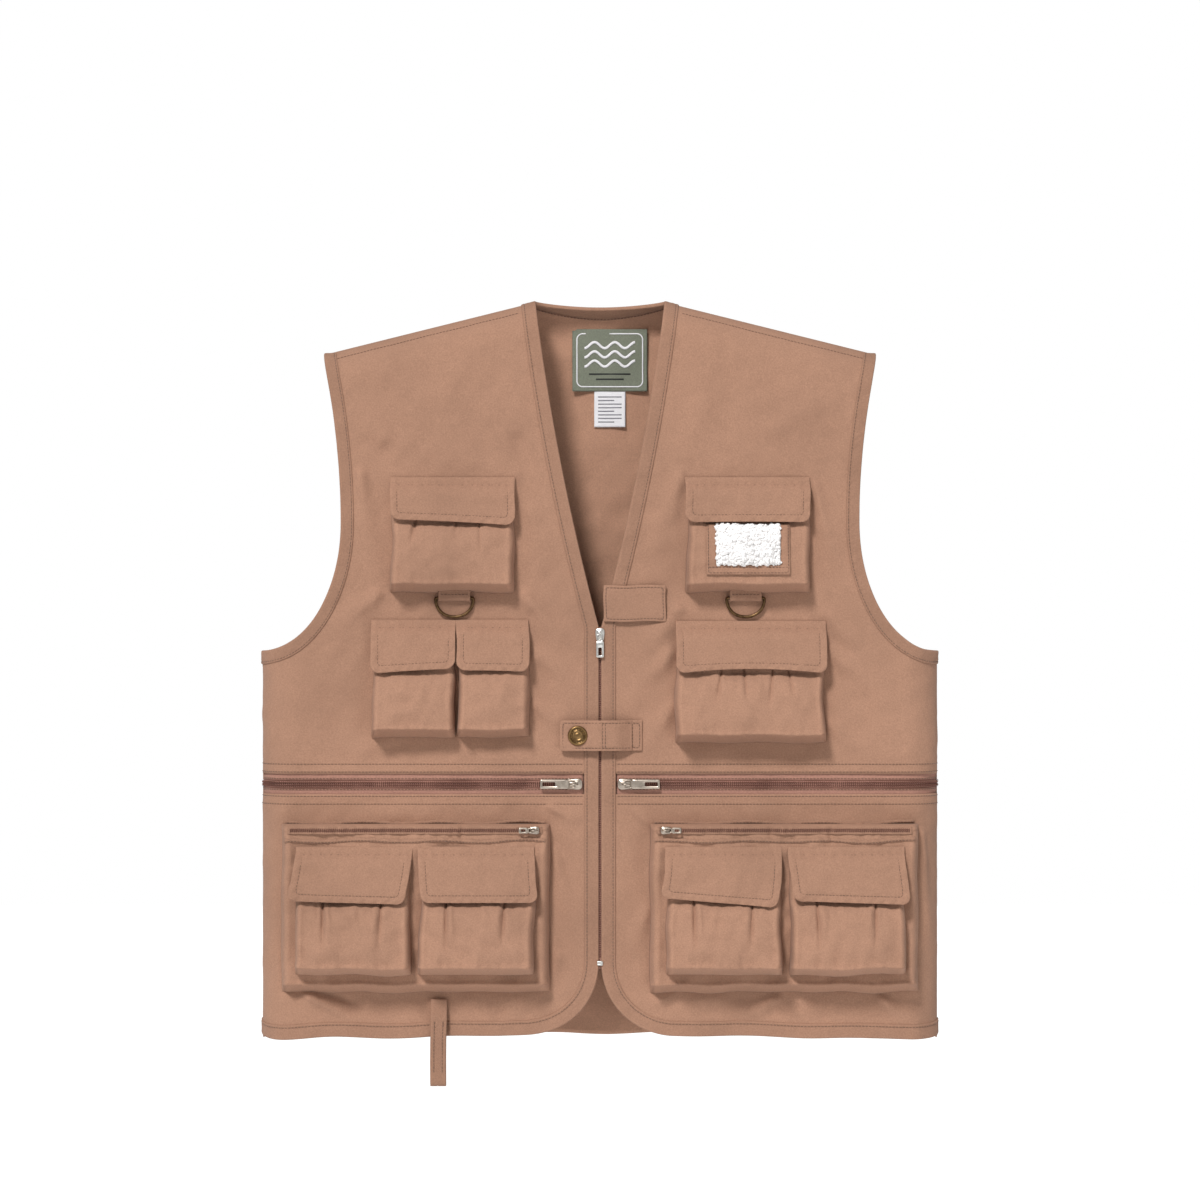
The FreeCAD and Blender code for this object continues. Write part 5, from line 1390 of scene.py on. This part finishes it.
def make_keeper_tab(stitches):
    """The tab beside the zip: a doubled rectangle, sewn at its inner end, with loose bottom and outer edges."""
    low, high = node_box("keeper_tab")
    width, height = high[0] - low[0], high[2] - low[2]
    across, down = np.linspace(0, 1, 62), np.linspace(0, 1, 40)
    u, w = np.meshgrid(across * width, down * height)
    rim = np.minimum(np.minimum(u, width - u), np.minimum(w, height - w))
    x, z = low[0] + u, high[2] - w
    loose = smooth_step(u / width) * 0.5 + smooth_step(w / height) * 0.5
    d = 2.4 + 0.35 * ripple(x, z, 30, 81) + 1.7 * loose**2 + 0.5 * np.sin(u / 9.0) * loose
    groove = np.exp(-((rim - 2.2) / 0.8) ** 2)
    thick = 1.1 + 0.8 * (1 - np.exp(-np.clip(rim, 0, None) / 0.8)) - 0.5 * groove
    points = np.stack([x + 0.4 * ripple(z, 0 * z, 33, 82), -(ROUND + d),
                       z + 0.35 * ripple(x, 0 * x, 30, 83)], -1)
    builder = Builder()
    # the rim is painted paler: wear and a painted highlight on the folded edge
    add_plate(builder, points, thick, np.stack([u, w], -1), np.exp(-np.clip(rim, 0, None) / 0.9))
    builder.make("keeper_tab_cloth", MATERIALS["flap"], "keeper_tab", replaces=["keeper_tab"], slot="poplin")
    inset = 2.2
    far, base = width - inset, height - inset
    path = resample([[inset, inset], [far, inset], [far, base], [inset, base], [inset, inset]], step=2.7)
    surface = surface_at(across * width, down * height, points, path)
    surface[:, 1] -= 0.78
    stitches.append((surface, "keeper_tab"))


def make_fly_patch(stitches):
    """A cloth frame on the upper left pocket round a fleece pad: a backing and many curled tufts of pile."""
    low, high = node_box("fly_patch_frame")
    pile_low, pile_high = node_box("fly_patch_fleece")
    pocket_front = front_of("upper_left_pocket")

    def depth_at(x, z):
        """How far the patch's backing stands off the front."""
        return pocket_front(x, z) - ROUND + 1.3

    borders = ((low[0], high[0], low[2], pile_low[2]), (low[0], pile_low[0], pile_low[2] - 2, high[2]),
               (pile_high[0], high[0], pile_low[2] - 2, high[2]))
    for part, (x0, x1, z0, z1) in enumerate(borders):
        builder = Builder()
        x, z = np.meshgrid(np.linspace(x0, x1, max(8, int((x1 - x0) / 1.4))),
                           np.linspace(z1, z0, max(8, int((z1 - z0) / 1.4))))
        rim = np.minimum(np.minimum(x - x0, x1 - x), np.minimum(z - z0, z1 - z))
        d = depth_at(x, z) + 0.2 * ripple(x, z, 18, 91 + part) + (0.35 if part == 0 else 0.0)
        thick = 0.8 + 0.6 * (1 - np.exp(-rim / 0.9)) - 0.3 * np.exp(-((rim - 2.0) / 0.7) ** 2)
        # the rim is painted paler: wear and a painted highlight on the folded edge
        add_plate(builder, np.stack([x, -(ROUND + d), z], -1), thick, np.stack([x, -z], -1), np.exp(-rim / 1.0))
        builder.make(f"fly_patch_frame_{part}", MATERIALS["flap"], "garment",
                     replaces=["fly_patch_frame"] if part == 0 else (), slot="poplin")
    loop = np.array([[low[0] + 1.6, high[2] - 1], [low[0] + 1.6, low[2] + 1.6], [high[0] - 1.6, low[2] + 1.6],
                     [high[0] - 1.6, high[2] - 1]])
    for run in (loop, np.array([[low[0] + 1.6, pile_low[2] - 1.8], [high[0] - 1.6, pile_low[2] - 1.8]])):
        path = resample(run, step=FINE_STEP)
        depth = depth_at(path[:, 0], path[:, 1])
        stitches.append((np.stack([path[:, 0], -(ROUND + depth + 0.95), path[:, 1]], 1), "garment"))
    random = np.random.default_rng(95)
    half_x, half_z = (pile_high[0] - pile_low[0]) / 2, (pile_high[2] - pile_low[2]) / 2
    center_x, center_z = (pile_high[0] + pile_low[0]) / 2, (pile_high[2] + pile_low[2]) / 2
    builder = Builder()
    x, z = np.meshgrid(np.linspace(-1, 1, 60), np.linspace(1, -1, 44))
    swell = (1 - np.abs(x) ** 7) * (1 - np.abs(z) ** 6)
    lumps = 0.6 * ripple(x * half_x, z * half_z, 9, 96) + 0.35 * ripple(x * half_x, z * half_z, 4, 97)
    z_at = center_z + z * half_z
    d = depth_at(center_x + x * half_x, z_at) - 0.6 + swell * (3.4 + lumps)
    add_plate(builder, np.stack([center_x + x * half_x, -(ROUND + d), z_at], -1), 0.8,
              np.stack([x * half_x, z * half_z], -1))
    piece = builder.make("fly_patch_pile", MATERIALS["fleece"], "garment", replaces=["fly_patch_fleece"],
                         slot="fleece")
    count = 900
    spot_x = random.uniform(-0.98, 0.98, count)
    spot_z = random.uniform(-0.98, 0.98, count)
    size = random.uniform(1.0, 1.9, count)
    place = np.stack([center_x + spot_x * half_x,
                      -(ROUND + depth_at(center_x + spot_x * half_x, center_z + spot_z * half_z) + 0.6
                        + (1 - spot_x**8) * (1 - spot_z**8) * random.uniform(1.9, 3.2, count)),
                      center_z + spot_z * half_z], 1)
    rows, columns = 5, 7
    polar = np.linspace(0.12, math.pi - 0.12, rows)[:, None]
    azimuth = np.linspace(0, 2 * math.pi, columns, endpoint=False)[None, :]
    ball = np.stack([np.sin(polar) * np.cos(azimuth), np.cos(polar) + 0 * azimuth,
                     np.sin(polar) * np.sin(azimuth)], -1)
    wobble = 1 + 0.3 * random.standard_normal((count, rows, columns, 1)).clip(-1, 1)
    stretch = random.uniform(0.7, 1.45, (count, 1, 1, 3))
    points = place[:, None, None, :] + ball[None] * wobble * stretch * size[:, None, None, None]
    caps = [[0, 1, 2, 3], [0, 3, 4, 5], [0, 5, 6, -1], [28, 34, 33, 32], [28, 32, 31, 30], [28, 30, 29, -1]]
    faces = np.concatenate([grid_faces(rows, columns, wrap_columns=True), caps])
    builder = Builder()
    every = np.where(faces[None] < 0, -1, faces[None] + (np.arange(count) * rows * columns)[:, None, None])
    builder.add(points.reshape(-1, 3), every.reshape(-1, 4), points.reshape(-1, 3)[:, [0, 2]])
    pile = builder.make("fly_patch_tufts", MATERIALS["fleece"], "garment", slot="fleece")


def make_cargo_zip(word, stitches):
    """Tape and coil along the top of a cargo pocket, between a puckered edge and the welt over its flaps."""
    low, high = node_box("cargo_zip_chains")
    level = (low[2] + high[2]) / 2
    side = 1 if word == "left" else -1
    face = front_of("cargo_pocket_" + word)
    tape, coil, welt = Builder(), Builder(), Builder()
    x, v = np.meshgrid(np.linspace(49, 265, 150) * side, np.linspace(3.4, -3.4, 9))
    add_plate(tape, np.stack([x, -(face(x, level + 0 * v) + 0.75), level + v], -1), 0.6, np.stack([x, v], -1))
    for shift in (0.7, -0.7):
        path = helix((51 * side, 0, level + shift), (263 * side, 0, level + shift), 0.6, 1.6, lean=0.35, steps=8)
        path[:, 1] -= face(path[:, 0], np.full(len(path), level)) + 1.35
        add_tube(coil, path, 0.3, sides=5)
    long = np.linspace(46.5, 267.5, 170)
    pinch = np.sin(2 * math.pi * long / 9.5 + 2.2 * ripple(long * side, 0 * long, 40, 103))
    for row, stand, thick in ((high[2] + 0.9, 0.2, 1.5), (low[2] - 4.6, 0.5, 2.0)):
        z = row + 0.8 * ripple(long * side, 0 * long, 70, 104) + 0.15 * pinch
        path = np.stack([long * side, -(face(long * side, z) + stand + 0.25 * pinch), z], 1)
        add_tube(welt, path, thick * (1 + 0.07 * pinch), sides=10, flatten=0.5)
        stitches.append((path + [0, -thick * 0.5 - 0.12, -thick * 0.35], "garment"))
    first = word == "left"
    tape.make("cargo_zip_tape_" + word, MATERIALS["binding"], "garment",
              replaces=["cargo_zip_chains"] if first else (), slot="zip_tape")
    coil.make("cargo_zip_coil_" + word, MATERIALS["coil"], "garment", slot="zip_tape")
    welt.make("cargo_welt_" + word, MATERIALS["binding"], "garment", slot="poplin")


def make_labels():
    """A neck label with a plain border and three waves, and a care label with grey lines for text."""
    low, high = node_box("neck_label")
    center_x, center_z = (low[0] + high[0]) / 2, (low[2] + high[2]) / 2
    half_x, half_z = (high[0] - low[0]) / 2, (high[2] - low[2]) / 2
    x, z = np.meshgrid(np.linspace(-half_x, half_x, 50), np.linspace(half_z, -half_z, 42))
    bend = 0.5 * ripple(x + center_x, z, 45, 111)
    plate = Builder()
    add_plate(plate, np.stack([x + center_x, 26.6 + bend, z + center_z], -1), 0.5, np.stack([x, z], -1))
    plate.make("neck_label_cloth", MATERIALS["olive"], "garment", replaces=["neck_label"], slot="label_olive")
    cream, ink = Builder(), Builder()

    def drawn(builder, path, thick):
        """A raised line on the label, which follows its bend."""
        across = path[:, 0] + center_x
        spots = np.stack([across, 26.2 + 0.5 * ripple(across, path[:, 1], 45, 111), path[:, 1] + center_z], 1)
        add_tube(builder, spots, thick, sides=6, flatten=0.25)

    frame_half_x, frame_half_z = half_x - 4, half_z - 4
    edge = rounded_outline(frame_half_x, frame_half_z, 5, 80)
    drawn(cream, np.concatenate([edge, edge[:2]]), 0.55)
    run = np.linspace(-22, 22, 90)
    for row, height in ((13, 2.6), (5, 2.6), (-3, 2.6)):
        drawn(cream, np.stack([run, row + height * np.sin(run * 2 * math.pi / 17.6)], 1), 1.15)
    for row, reach in ((-12, 18), (-16.5, 12)):
        drawn(ink, np.array([[-reach, row], [-reach / 3, row], [reach / 3, row], [reach, row]], float), 0.7)
    cream.make("neck_label_waves", MATERIALS["white"], "garment", slot="label_white")
    ink.make("neck_label_lines", MATERIALS["ink"], "garment", slot="label_olive")
    low, high = node_box("care_label")
    x, z = np.meshgrid(np.linspace(low[0], high[0], 24), np.linspace(high[2], low[2], 30))
    y = 27.25 + 0.6 * ripple(x, z, 30, 112) * smooth_step((high[2] - z) / 12)
    care = Builder()
    add_plate(care, np.stack([x, y, z], -1), 0.45, np.stack([x, z], -1))
    care.make("care_label_cloth", MATERIALS["white"], "garment", replaces=["care_label"], slot="label_white")
    lines = Builder()
    for number, row in enumerate(np.arange(low[2] + 4.5, node_box("neck_label")[0][2] - 2, 3.1)):
        reach = 10.2 if number % 3 else 7.0
        run = np.linspace(-reach, reach, 12) + (low[0] + high[0]) / 2 - (10.2 - reach)
        y = 26.93 + 0.6 * ripple(run, 0 * run + row, 30, 112) * smooth_step((high[2] - row) / 12)
        add_tube(lines, np.stack([run, y, np.full(12, row)], 1), 0.5, sides=6, flatten=0.25)
    lines.make("care_label_lines", MATERIALS["grey"], "garment", slot="label_white")


def make_rod_loop(stitches):
    """A doubled webbing loop below the right cargo pocket: one band down, round and up again."""
    def sway(z):
        """How far the loop hangs to one side at a height."""
        return 0.8 * np.sin((z - top) / 32) * np.clip((top - z) / 30, 0, 1)

    low, high = node_box("rod_loop")
    center, half = (low[0] + high[0]) / 2, (high[0] - low[0]) / 2
    top, bottom = high[2], low[2]
    bend = np.linspace(0, math.pi, 13)
    near, far = -high[1], -low[1]
    front = np.array([[top + 4, near + 1.6], [top - 3, near + 2.2], [top - 12, far - 0.8],
                      [bottom + 14, far - 0.4]])
    round_low = np.stack([bottom + 3.4 - 3.0 * np.sin(bend),
                          (far + near) / 2 + (far - near - 1.4) / 2 * np.cos(bend)], 1)
    back = np.array([[bottom + 14, near + 0.5], [top - 10, near + 0.5], [top + 3, near + 0.5]])
    section = resample(np.concatenate([front, round_low, back]), count=110)
    for _ in range(2):
        section[1:-1] = (section[:-2] + 2 * section[1:-1] + section[2:]) / 4
    u = np.linspace(-half, half, 15)
    x, z = np.meshgrid(center + u, section[:, 0])
    d = np.broadcast_to(section[:, 1:], x.shape) + 0.25 * ripple(x, z, 24, 121)
    x = x + sway(z)
    points = np.stack([x, -d, z], -1)
    flat_down = np.concatenate([[0], np.cumsum(np.linalg.norm(np.diff(section, axis=0), axis=1))])
    flat = np.stack(np.broadcast_arrays(u[None, :], flat_down[:, None]), -1)
    rim = half - np.abs(u)
    builder = Builder()
    # the webbing's edges are painted paler: wear and a painted highlight
    add_plate(builder, points, np.broadcast_to(0.9 + 0.3 * (1 - np.exp(-rim / 0.6)), x.shape), flat,
              np.broadcast_to(np.exp(-rim / 0.9), x.shape))
    webbing = builder.make("rod_loop_webbing", MATERIALS["webbing"], None, replaces=["rod_loop"],
                           slot="poplin")
    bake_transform(webbing)
    for shift in (-3.6, 3.6):
        run = np.linspace(top - 14, bottom + 12, 22)
        stitches.append((np.stack([center + shift + sway(run), np.full(22, -(far + 0.25)), run], 1), "rod_loop"))


def make_all_stitches(stitches):
    """Every row of stitching, gathered into one piece of thread for each body it rides on."""
    for body in sorted({body for _, body in stitches}):
        builder = Builder()
        for path, owner in stitches:
            if owner == body:
                add_stitches(builder, path)
        builder.make("stitches_" + body, MATERIALS["thread"], body, slot="poplin_binding")


# ------------------------------------------------------------------ add-on: sizes, colours and operators
STITCHES = []


class VestColors(bpy.types.PropertyGroup):
    """Colours of the vest's cloth and fleece."""

    cloth: bpy.props.FloatVectorProperty(
        name="Cloth", description="Colour of the body cloth", subtype="COLOR", default=(0.312, 0.172, 0.113),
        min=0, max=1)
    fleece: bpy.props.FloatVectorProperty(
        name="Fleece", description="Colour of the fly patch's pile", subtype="COLOR", default=(0.92, 0.90, 0.89),
        min=0, max=1)


class VestSizes(bpy.types.PropertyGroup):
    """Sizes of the vest's cloth and studio."""

    pouch_bulge: bpy.props.FloatProperty(
        name="Pouch Bulge", description="How far the small pockets swell", subtype="DISTANCE", unit="LENGTH",
        default=0.0058, min=0, max=0.01)
    flap_corner: bpy.props.FloatProperty(
        name="Flap Corner", description="Rounding of the flaps' lower corners", subtype="DISTANCE", unit="LENGTH",
        default=0.008, min=0.002, max=0.015)
    camera_distance: bpy.props.FloatProperty(
        name="Camera Distance", description="Distance from the camera to the front of the vest", subtype="DISTANCE",
        unit="LENGTH", default=3.2, min=1, max=10)


class PieceOperator:
    """What the vest's operators share: they undo, and stop with an error if a piece can't be made."""

    bl_options = {"REGISTER", "UNDO"}


class VEST_OT_materials(PieceOperator, bpy.types.Operator):
    """Make the vest's cloth, thread, label and metal materials"""

    bl_idname = "vest.materials"
    bl_label = "Materials"

    def execute(self, context):
        colors = context.scene.vest_colors
        make_materials(colors.cloth, colors.fleece)
        return {"FINISHED"}


class VEST_OT_panels(PieceOperator, bpy.types.Operator):
    """Make the back and the four front panels"""

    bl_idname = "vest.panels"
    bl_label = "Panels"

    def execute(self, context):
        make_back_panel(MATERIALS["poplin"])
        make_front_panels(MATERIALS["poplin"])
        hem_stitches(STITCHES)
        return {"FINISHED"}


class VEST_OT_facings(PieceOperator, bpy.types.Operator):
    """Make the front facings, the neck band and the armhole bindings"""

    bl_idname = "vest.facings"
    bl_label = "Facings and Bindings"

    def execute(self, context):
        make_facings(MATERIALS["binding"], STITCHES)
        return {"FINISHED"}


class VEST_OT_zips(PieceOperator, bpy.types.Operator):
    """Make the zips' tapes, coils, stops, sliders and pulls"""

    bl_idname = "vest.zips"
    bl_label = "Zips"

    def execute(self, context):
        make_front_zip()
        make_cross_zips(STITCHES)
        make_cross_stops()
        for name, way, metal_name in (("front_zip", "down", "nickel"), ("cross_zip_left", "left", "smoked"),
                                      ("cross_zip_right", "right", "smoked"), ("cargo_zip_left", "left", "smoked"),
                                      ("cargo_zip_right", "right", "smoked")):
            make_slider(name + "_slider", way, metal_name)
            make_pull(name + "_pull", way, metal_name)
        return {"FINISHED"}


class VEST_OT_pockets(PieceOperator, bpy.types.Operator):
    """Make the pockets and their flaps"""

    bl_idname = "vest.pockets"
    bl_label = "Pockets and Flaps"

    def execute(self, context):
        sizes = context.scene.vest_sizes
        bulge, corner = sizes.pouch_bulge / MM, sizes.flap_corner / MM
        for name, folds, seed, flap_folds, slant in CHEST:
            make_pouch(name + "_pocket", ROUND, MOUTH, folds, seed, bulge, covered=covered_by(name),
                       sag=3.2 if name in ("upper_right", "lower_left", "twin_outer") else 1.6)
            make_flap(STITCHES, name + "_flap", name + "_pocket", ROUND, seed + 40, corner,
                      arch=4.0 if name == "lower_left" else 0.6, folds=flap_folds, slant=slant)
        for side in ("left", "right"):
            bag = "cargo_pocket_" + side
            make_pouch(bag, ROUND, 14.0, CARGO_FOLDS, 301 if side == "left" else 302, 0.8, gather=0.7,
                       closed_top=True, reach=1.9)
            face = -node_box(bag)[0][1]
            make_cargo_zip(side, STITCHES)
            for place in ("inner", "outer"):
                name = f"cargo_{place}_{side}"
                seed = 310 + len(name) + (7 if place == "inner" else 0)
                tilt = 0.012 if name == "cargo_outer_left" else 0.004
                make_pouch(name + "_pocket", face, MOUTH, PLEATS, seed, bulge * 1.1, gather=0.8,
                           tilt=-tilt if side == "left" else tilt, covered=covered_by(name), sag=3.0)
                lean, slant = HANG[name]
                make_flap(STITCHES, name + "_flap", name + "_pocket", face, seed + 40, corner - 1.0,
                          folds=CRUMPLE if name == "cargo_outer_left" else (), lean=lean, slant=slant)
        return {"FINISHED"}


class VEST_OT_details(PieceOperator, bpy.types.Operator):
    """Make the rings, strap, snap, keeper tab, fly patch, labels and rod loop"""

    bl_idname = "vest.details"
    bl_label = "Rings, Strap and Labels"

    def execute(self, context):
        make_ring("d_ring_left")
        make_ring("d_ring_right")
        make_ring_tabs(STITCHES)
        make_closure_strap(STITCHES)
        make_snap()
        make_keeper_tab(STITCHES)
        make_fly_patch(STITCHES)
        make_labels()
        make_rod_loop(STITCHES)
        return {"FINISHED"}


class VEST_OT_stitches(PieceOperator, bpy.types.Operator):
    """Sew every row of stitching gathered so far"""

    bl_idname = "vest.stitches"
    bl_label = "Stitching"

    def execute(self, context):
        if not STITCHES:
            raise RuntimeError("there are no rows of stitching: make the pieces first")
        make_all_stitches(STITCHES)
        STITCHES.clear()
        return {"FINISHED"}


class VEST_OT_stage(PieceOperator, bpy.types.Operator):
    """Set up the floor, soft light and camera"""

    bl_idname = "vest.stage"
    bl_label = "Stage"

    def execute(self, context):
        make_stage(context.scene.vest_sizes.camera_distance)
        return {"FINISHED"}


class VEST_PT_panel(bpy.types.Panel):
    """The vest's sizes, colours and operators"""

    bl_label = "Fishing Vest"
    bl_idname = "VEST_PT_panel"
    bl_space_type = "VIEW_3D"
    bl_region_type = "UI"
    bl_category = "Vest"

    def draw(self, context):
        layout = self.layout
        for group, names in ((context.scene.vest_colors, ("cloth", "fleece")),
                             (context.scene.vest_sizes, ("pouch_bulge", "flap_corner", "camera_distance"))):
            for name in names:
                layout.prop(group, name)
        for step in STEPS:
            layout.operator(step.bl_idname)


STEPS = (VEST_OT_materials, VEST_OT_panels, VEST_OT_facings, VEST_OT_zips, VEST_OT_pockets, VEST_OT_details,
         VEST_OT_stitches, VEST_OT_stage)
CLASSES = (VestColors, VestSizes, *STEPS, VEST_PT_panel)

# folds of the pockets: start and end as shares of half the width and of the height below the flap's
# hem, then width and height; a negative height is a pleat's valley
PLEATS = [(-0.54, -0.1, -0.5, 0.66, 1.7, -5.6), (-0.44, 0.02, -0.4, 0.5, 2.2, 2.6), (0.5, -0.1, 0.46, 0.62, 1.7, -5.6),
          (0.4, 0.02, 0.36, 0.45, 2.2, 2.4), (-0.9, 0.95, -0.5, 0.6, 5, 2.0), (0.9, 0.95, 0.5, 0.6, 5, 2.0),
          (0.0, 0.95, 0.1, 0.4, 9, 1.6)]
CARGO_FOLDS = [(-0.98, 0.02, -0.9, 0.3, 3, 1.4), (0.98, 0.05, 0.9, 0.35, 3, 1.8), (-0.97, 0.98, -0.88, 0.8, 3, 1.6),
               (0.98, 0.98, 0.88, 0.75, 3, 1.6), (-0.6, 0.0, -0.56, 0.12, 2.5, -1.6), (-0.1, 0.0, -0.12, 0.12, 2.5, -1.5),
               (0.35, 0.0, 0.33, 0.12, 2.5, -1.6), (0.7, 0.0, 0.74, 0.12, 2.5, -1.4)]
# how each cargo flap hangs: sideways for its length, and down for its width
HANG = {"cargo_outer_right": (-0.11, 0.03), "cargo_inner_right": (0.05, 0.0), "cargo_inner_left": (-0.07, 0.085),
        "cargo_outer_left": (0.09, 0.03)}
CRUMPLE = [(0.95, 0.1, 0.4, 0.45, 3, 1.8), (0.98, 0.45, 0.45, 0.6, 3.5, 1.3), (-0.9, 0.9, -0.4, 0.6, 5, 1.0)]
CORNER_FOLDS = [(-0.95, 0.95, -0.5, 0.62, 5, 2.2), (0.95, 0.95, 0.5, 0.65, 5, 2.2)]
CHEST = [
    ("upper_left", CORNER_FOLDS + [(-0.7, -0.1, -0.62, 0.4, 2.0, -2.4), (0.72, -0.1, 0.66, 0.4, 2.0, -2.4)],
     201, (), 0.0),
    ("upper_right", CORNER_FOLDS + [(-0.6, -0.1, -0.68, 0.35, 2.2, -4.6), (-0.5, 0.0, -0.46, 0.3, 2.0, 1.6),
                                    (0.08, -0.1, 0.05, 0.2, 1.5, -3.4), (0.44, -0.1, 0.47, 0.45, 1.3, -3.0)],
     211, [(0.3, 0.3, 0.35, 0.95, 7, 0.8)], 0.05),
    ("twin_outer", CORNER_FOLDS + [(-0.6, -0.1, -0.66, 0.3, 1.8, -3.6), (0.2, 0.3, 0.1, 0.7, 6, 1.4)], 221,
     [(0.8, 0.6, 0.2, 0.3, 5, 1.2)], -0.06),
    ("twin_inner", CORNER_FOLDS + [(0.3, 0.2, 0.2, 0.7, 6, 1.4)], 231, [(-0.8, 0.2, 0.4, 0.35, 4, 1.2)], 0.02),
    ("lower_left", CORNER_FOLDS + [(-0.4, -0.1, -0.46, 0.42, 1.5, -4.4), (-0.1, -0.1, -0.06, 0.42, 1.5, -3.8),
                                   (0.3, -0.1, 0.24, 0.5, 1.5, -4.4), (0.5, -0.1, 0.58, 0.36, 1.4, -3.6),
                                   (0.12, 0.0, 0.1, 0.4, 3, 1.8), (-0.25, 0.0, -0.25, 0.4, 3, 1.8)],
     241, [(-0.6, 0.9, -0.3, 0.4, 7, 1.0), (0.7, 0.9, 0.4, 0.4, 7, 1.0)], 0.0),
]


def plain_material(name, color, roughness):
    """A material of one colour, for the stage."""
    material = bpy.data.materials.new(name)
    material.use_nodes = True
    shader = material.node_tree.nodes["Principled BSDF"]
    shader.inputs["Base Color"].default_value = (*color, 1)
    shader.inputs["Roughness"].default_value = roughness
    return material


def area_light(name, place, aim, size, power):
    """A soft rectangular lamp that faces a point."""
    lamp = bpy.data.lights.new(name, "AREA")
    lamp.shape = "RECTANGLE"
    lamp.size, lamp.size_y = size
    lamp.energy = power
    thing = bpy.data.objects.new(name, lamp)
    thing.location = place
    direction = mathutils.Vector(aim) - mathutils.Vector(place)
    thing.rotation_euler = direction.to_track_quat("-Z", "Y").to_euler()
    bpy.context.scene.collection.objects.link(thing)


def make_stage(distance):
    """A plain pale floor, soft lamps and a level camera square to the front."""
    scene = bpy.context.scene
    floor_z = -1.25
    mesh = bpy.data.meshes.new("floor")
    reach = 9.0
    mesh.from_pydata([(-reach, -reach, floor_z), (reach, -reach, floor_z), (reach, reach, floor_z),
                      (-reach, reach, floor_z)], [], [(0, 1, 2, 3)])
    floor = bpy.data.objects.new("floor", mesh)
    pale = plain_material("floor", (0.95, 0.95, 0.95), 0.9)
    pale.node_tree.nodes["Principled BSDF"].inputs["Emission Color"].default_value = (1.0, 1.0, 1.0, 1.0)
    pale.node_tree.nodes["Principled BSDF"].inputs["Emission Strength"].default_value = 0.16
    mesh.materials.append(pale)
    scene.collection.objects.link(floor)
    world = scene.world or bpy.data.worlds.new("studio")
    scene.world = world
    world.use_nodes = True
    nodes = Nodes(world.node_tree)
    sky = world.node_tree.nodes["Background"]
    sky.inputs["Color"].default_value = (1.0, 1.0, 1.0, 1)
    seen = nodes.add("ShaderNodeLightPath").outputs["Is Camera Ray"]
    strength = nodes.add("ShaderNodeMapRange", {"Value": seen, "To Min": 0.37, "To Max": 1.0}).outputs[0]
    world.node_tree.links.new(strength, sky.inputs["Strength"])
    sun = bpy.data.lights.new("sun", "SUN")
    sun.energy = 3.2
    sun.angle = math.radians(12)
    lamp = bpy.data.objects.new("sun", sun)
    lamp.rotation_euler = mathutils.Vector((0.34, 0.8, -0.82)).to_track_quat("-Z", "Y").to_euler()
    scene.collection.objects.link(lamp)
    area_light("fill", (2.0, -2.2, 0.3), (0, 0, -0.35), (1.6, 1.6), 5)
    camera_data = bpy.data.cameras.new("camera")
    camera_data.sensor_width = 36
    front_y = -ROUND * MM - 0.01
    camera_data.lens = 36 * distance / 1.02
    camera = bpy.data.objects.new("camera", camera_data)
    camera.location = (0.0, front_y - distance, -0.256)
    camera.rotation_euler = (math.pi / 2, 0, 0)
    scene.collection.objects.link(camera)
    scene.camera = camera
    scene.view_settings.view_transform = "Standard"


def register():
    """Make the add-on's classes and settings known to Blender."""
    for made in CLASSES:
        bpy.utils.register_class(made)
    bpy.types.Scene.vest_colors = bpy.props.PointerProperty(type=VestColors)
    bpy.types.Scene.vest_sizes = bpy.props.PointerProperty(type=VestSizes)


def unregister():
    """Take them away again, in reverse."""
    del bpy.types.Scene.vest_sizes
    del bpy.types.Scene.vest_colors
    for made in reversed(CLASSES):
        bpy.utils.unregister_class(made)


def main():
    """Register the add-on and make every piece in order."""
    register()
    for step in ("materials", "panels", "facings", "zips", "pockets", "details", "stitches", "stage"):
        if "FINISHED" not in getattr(bpy.ops.vest, step)():
            raise RuntimeError("could not finish: " + step)


if __name__ == "__main__":
    main()
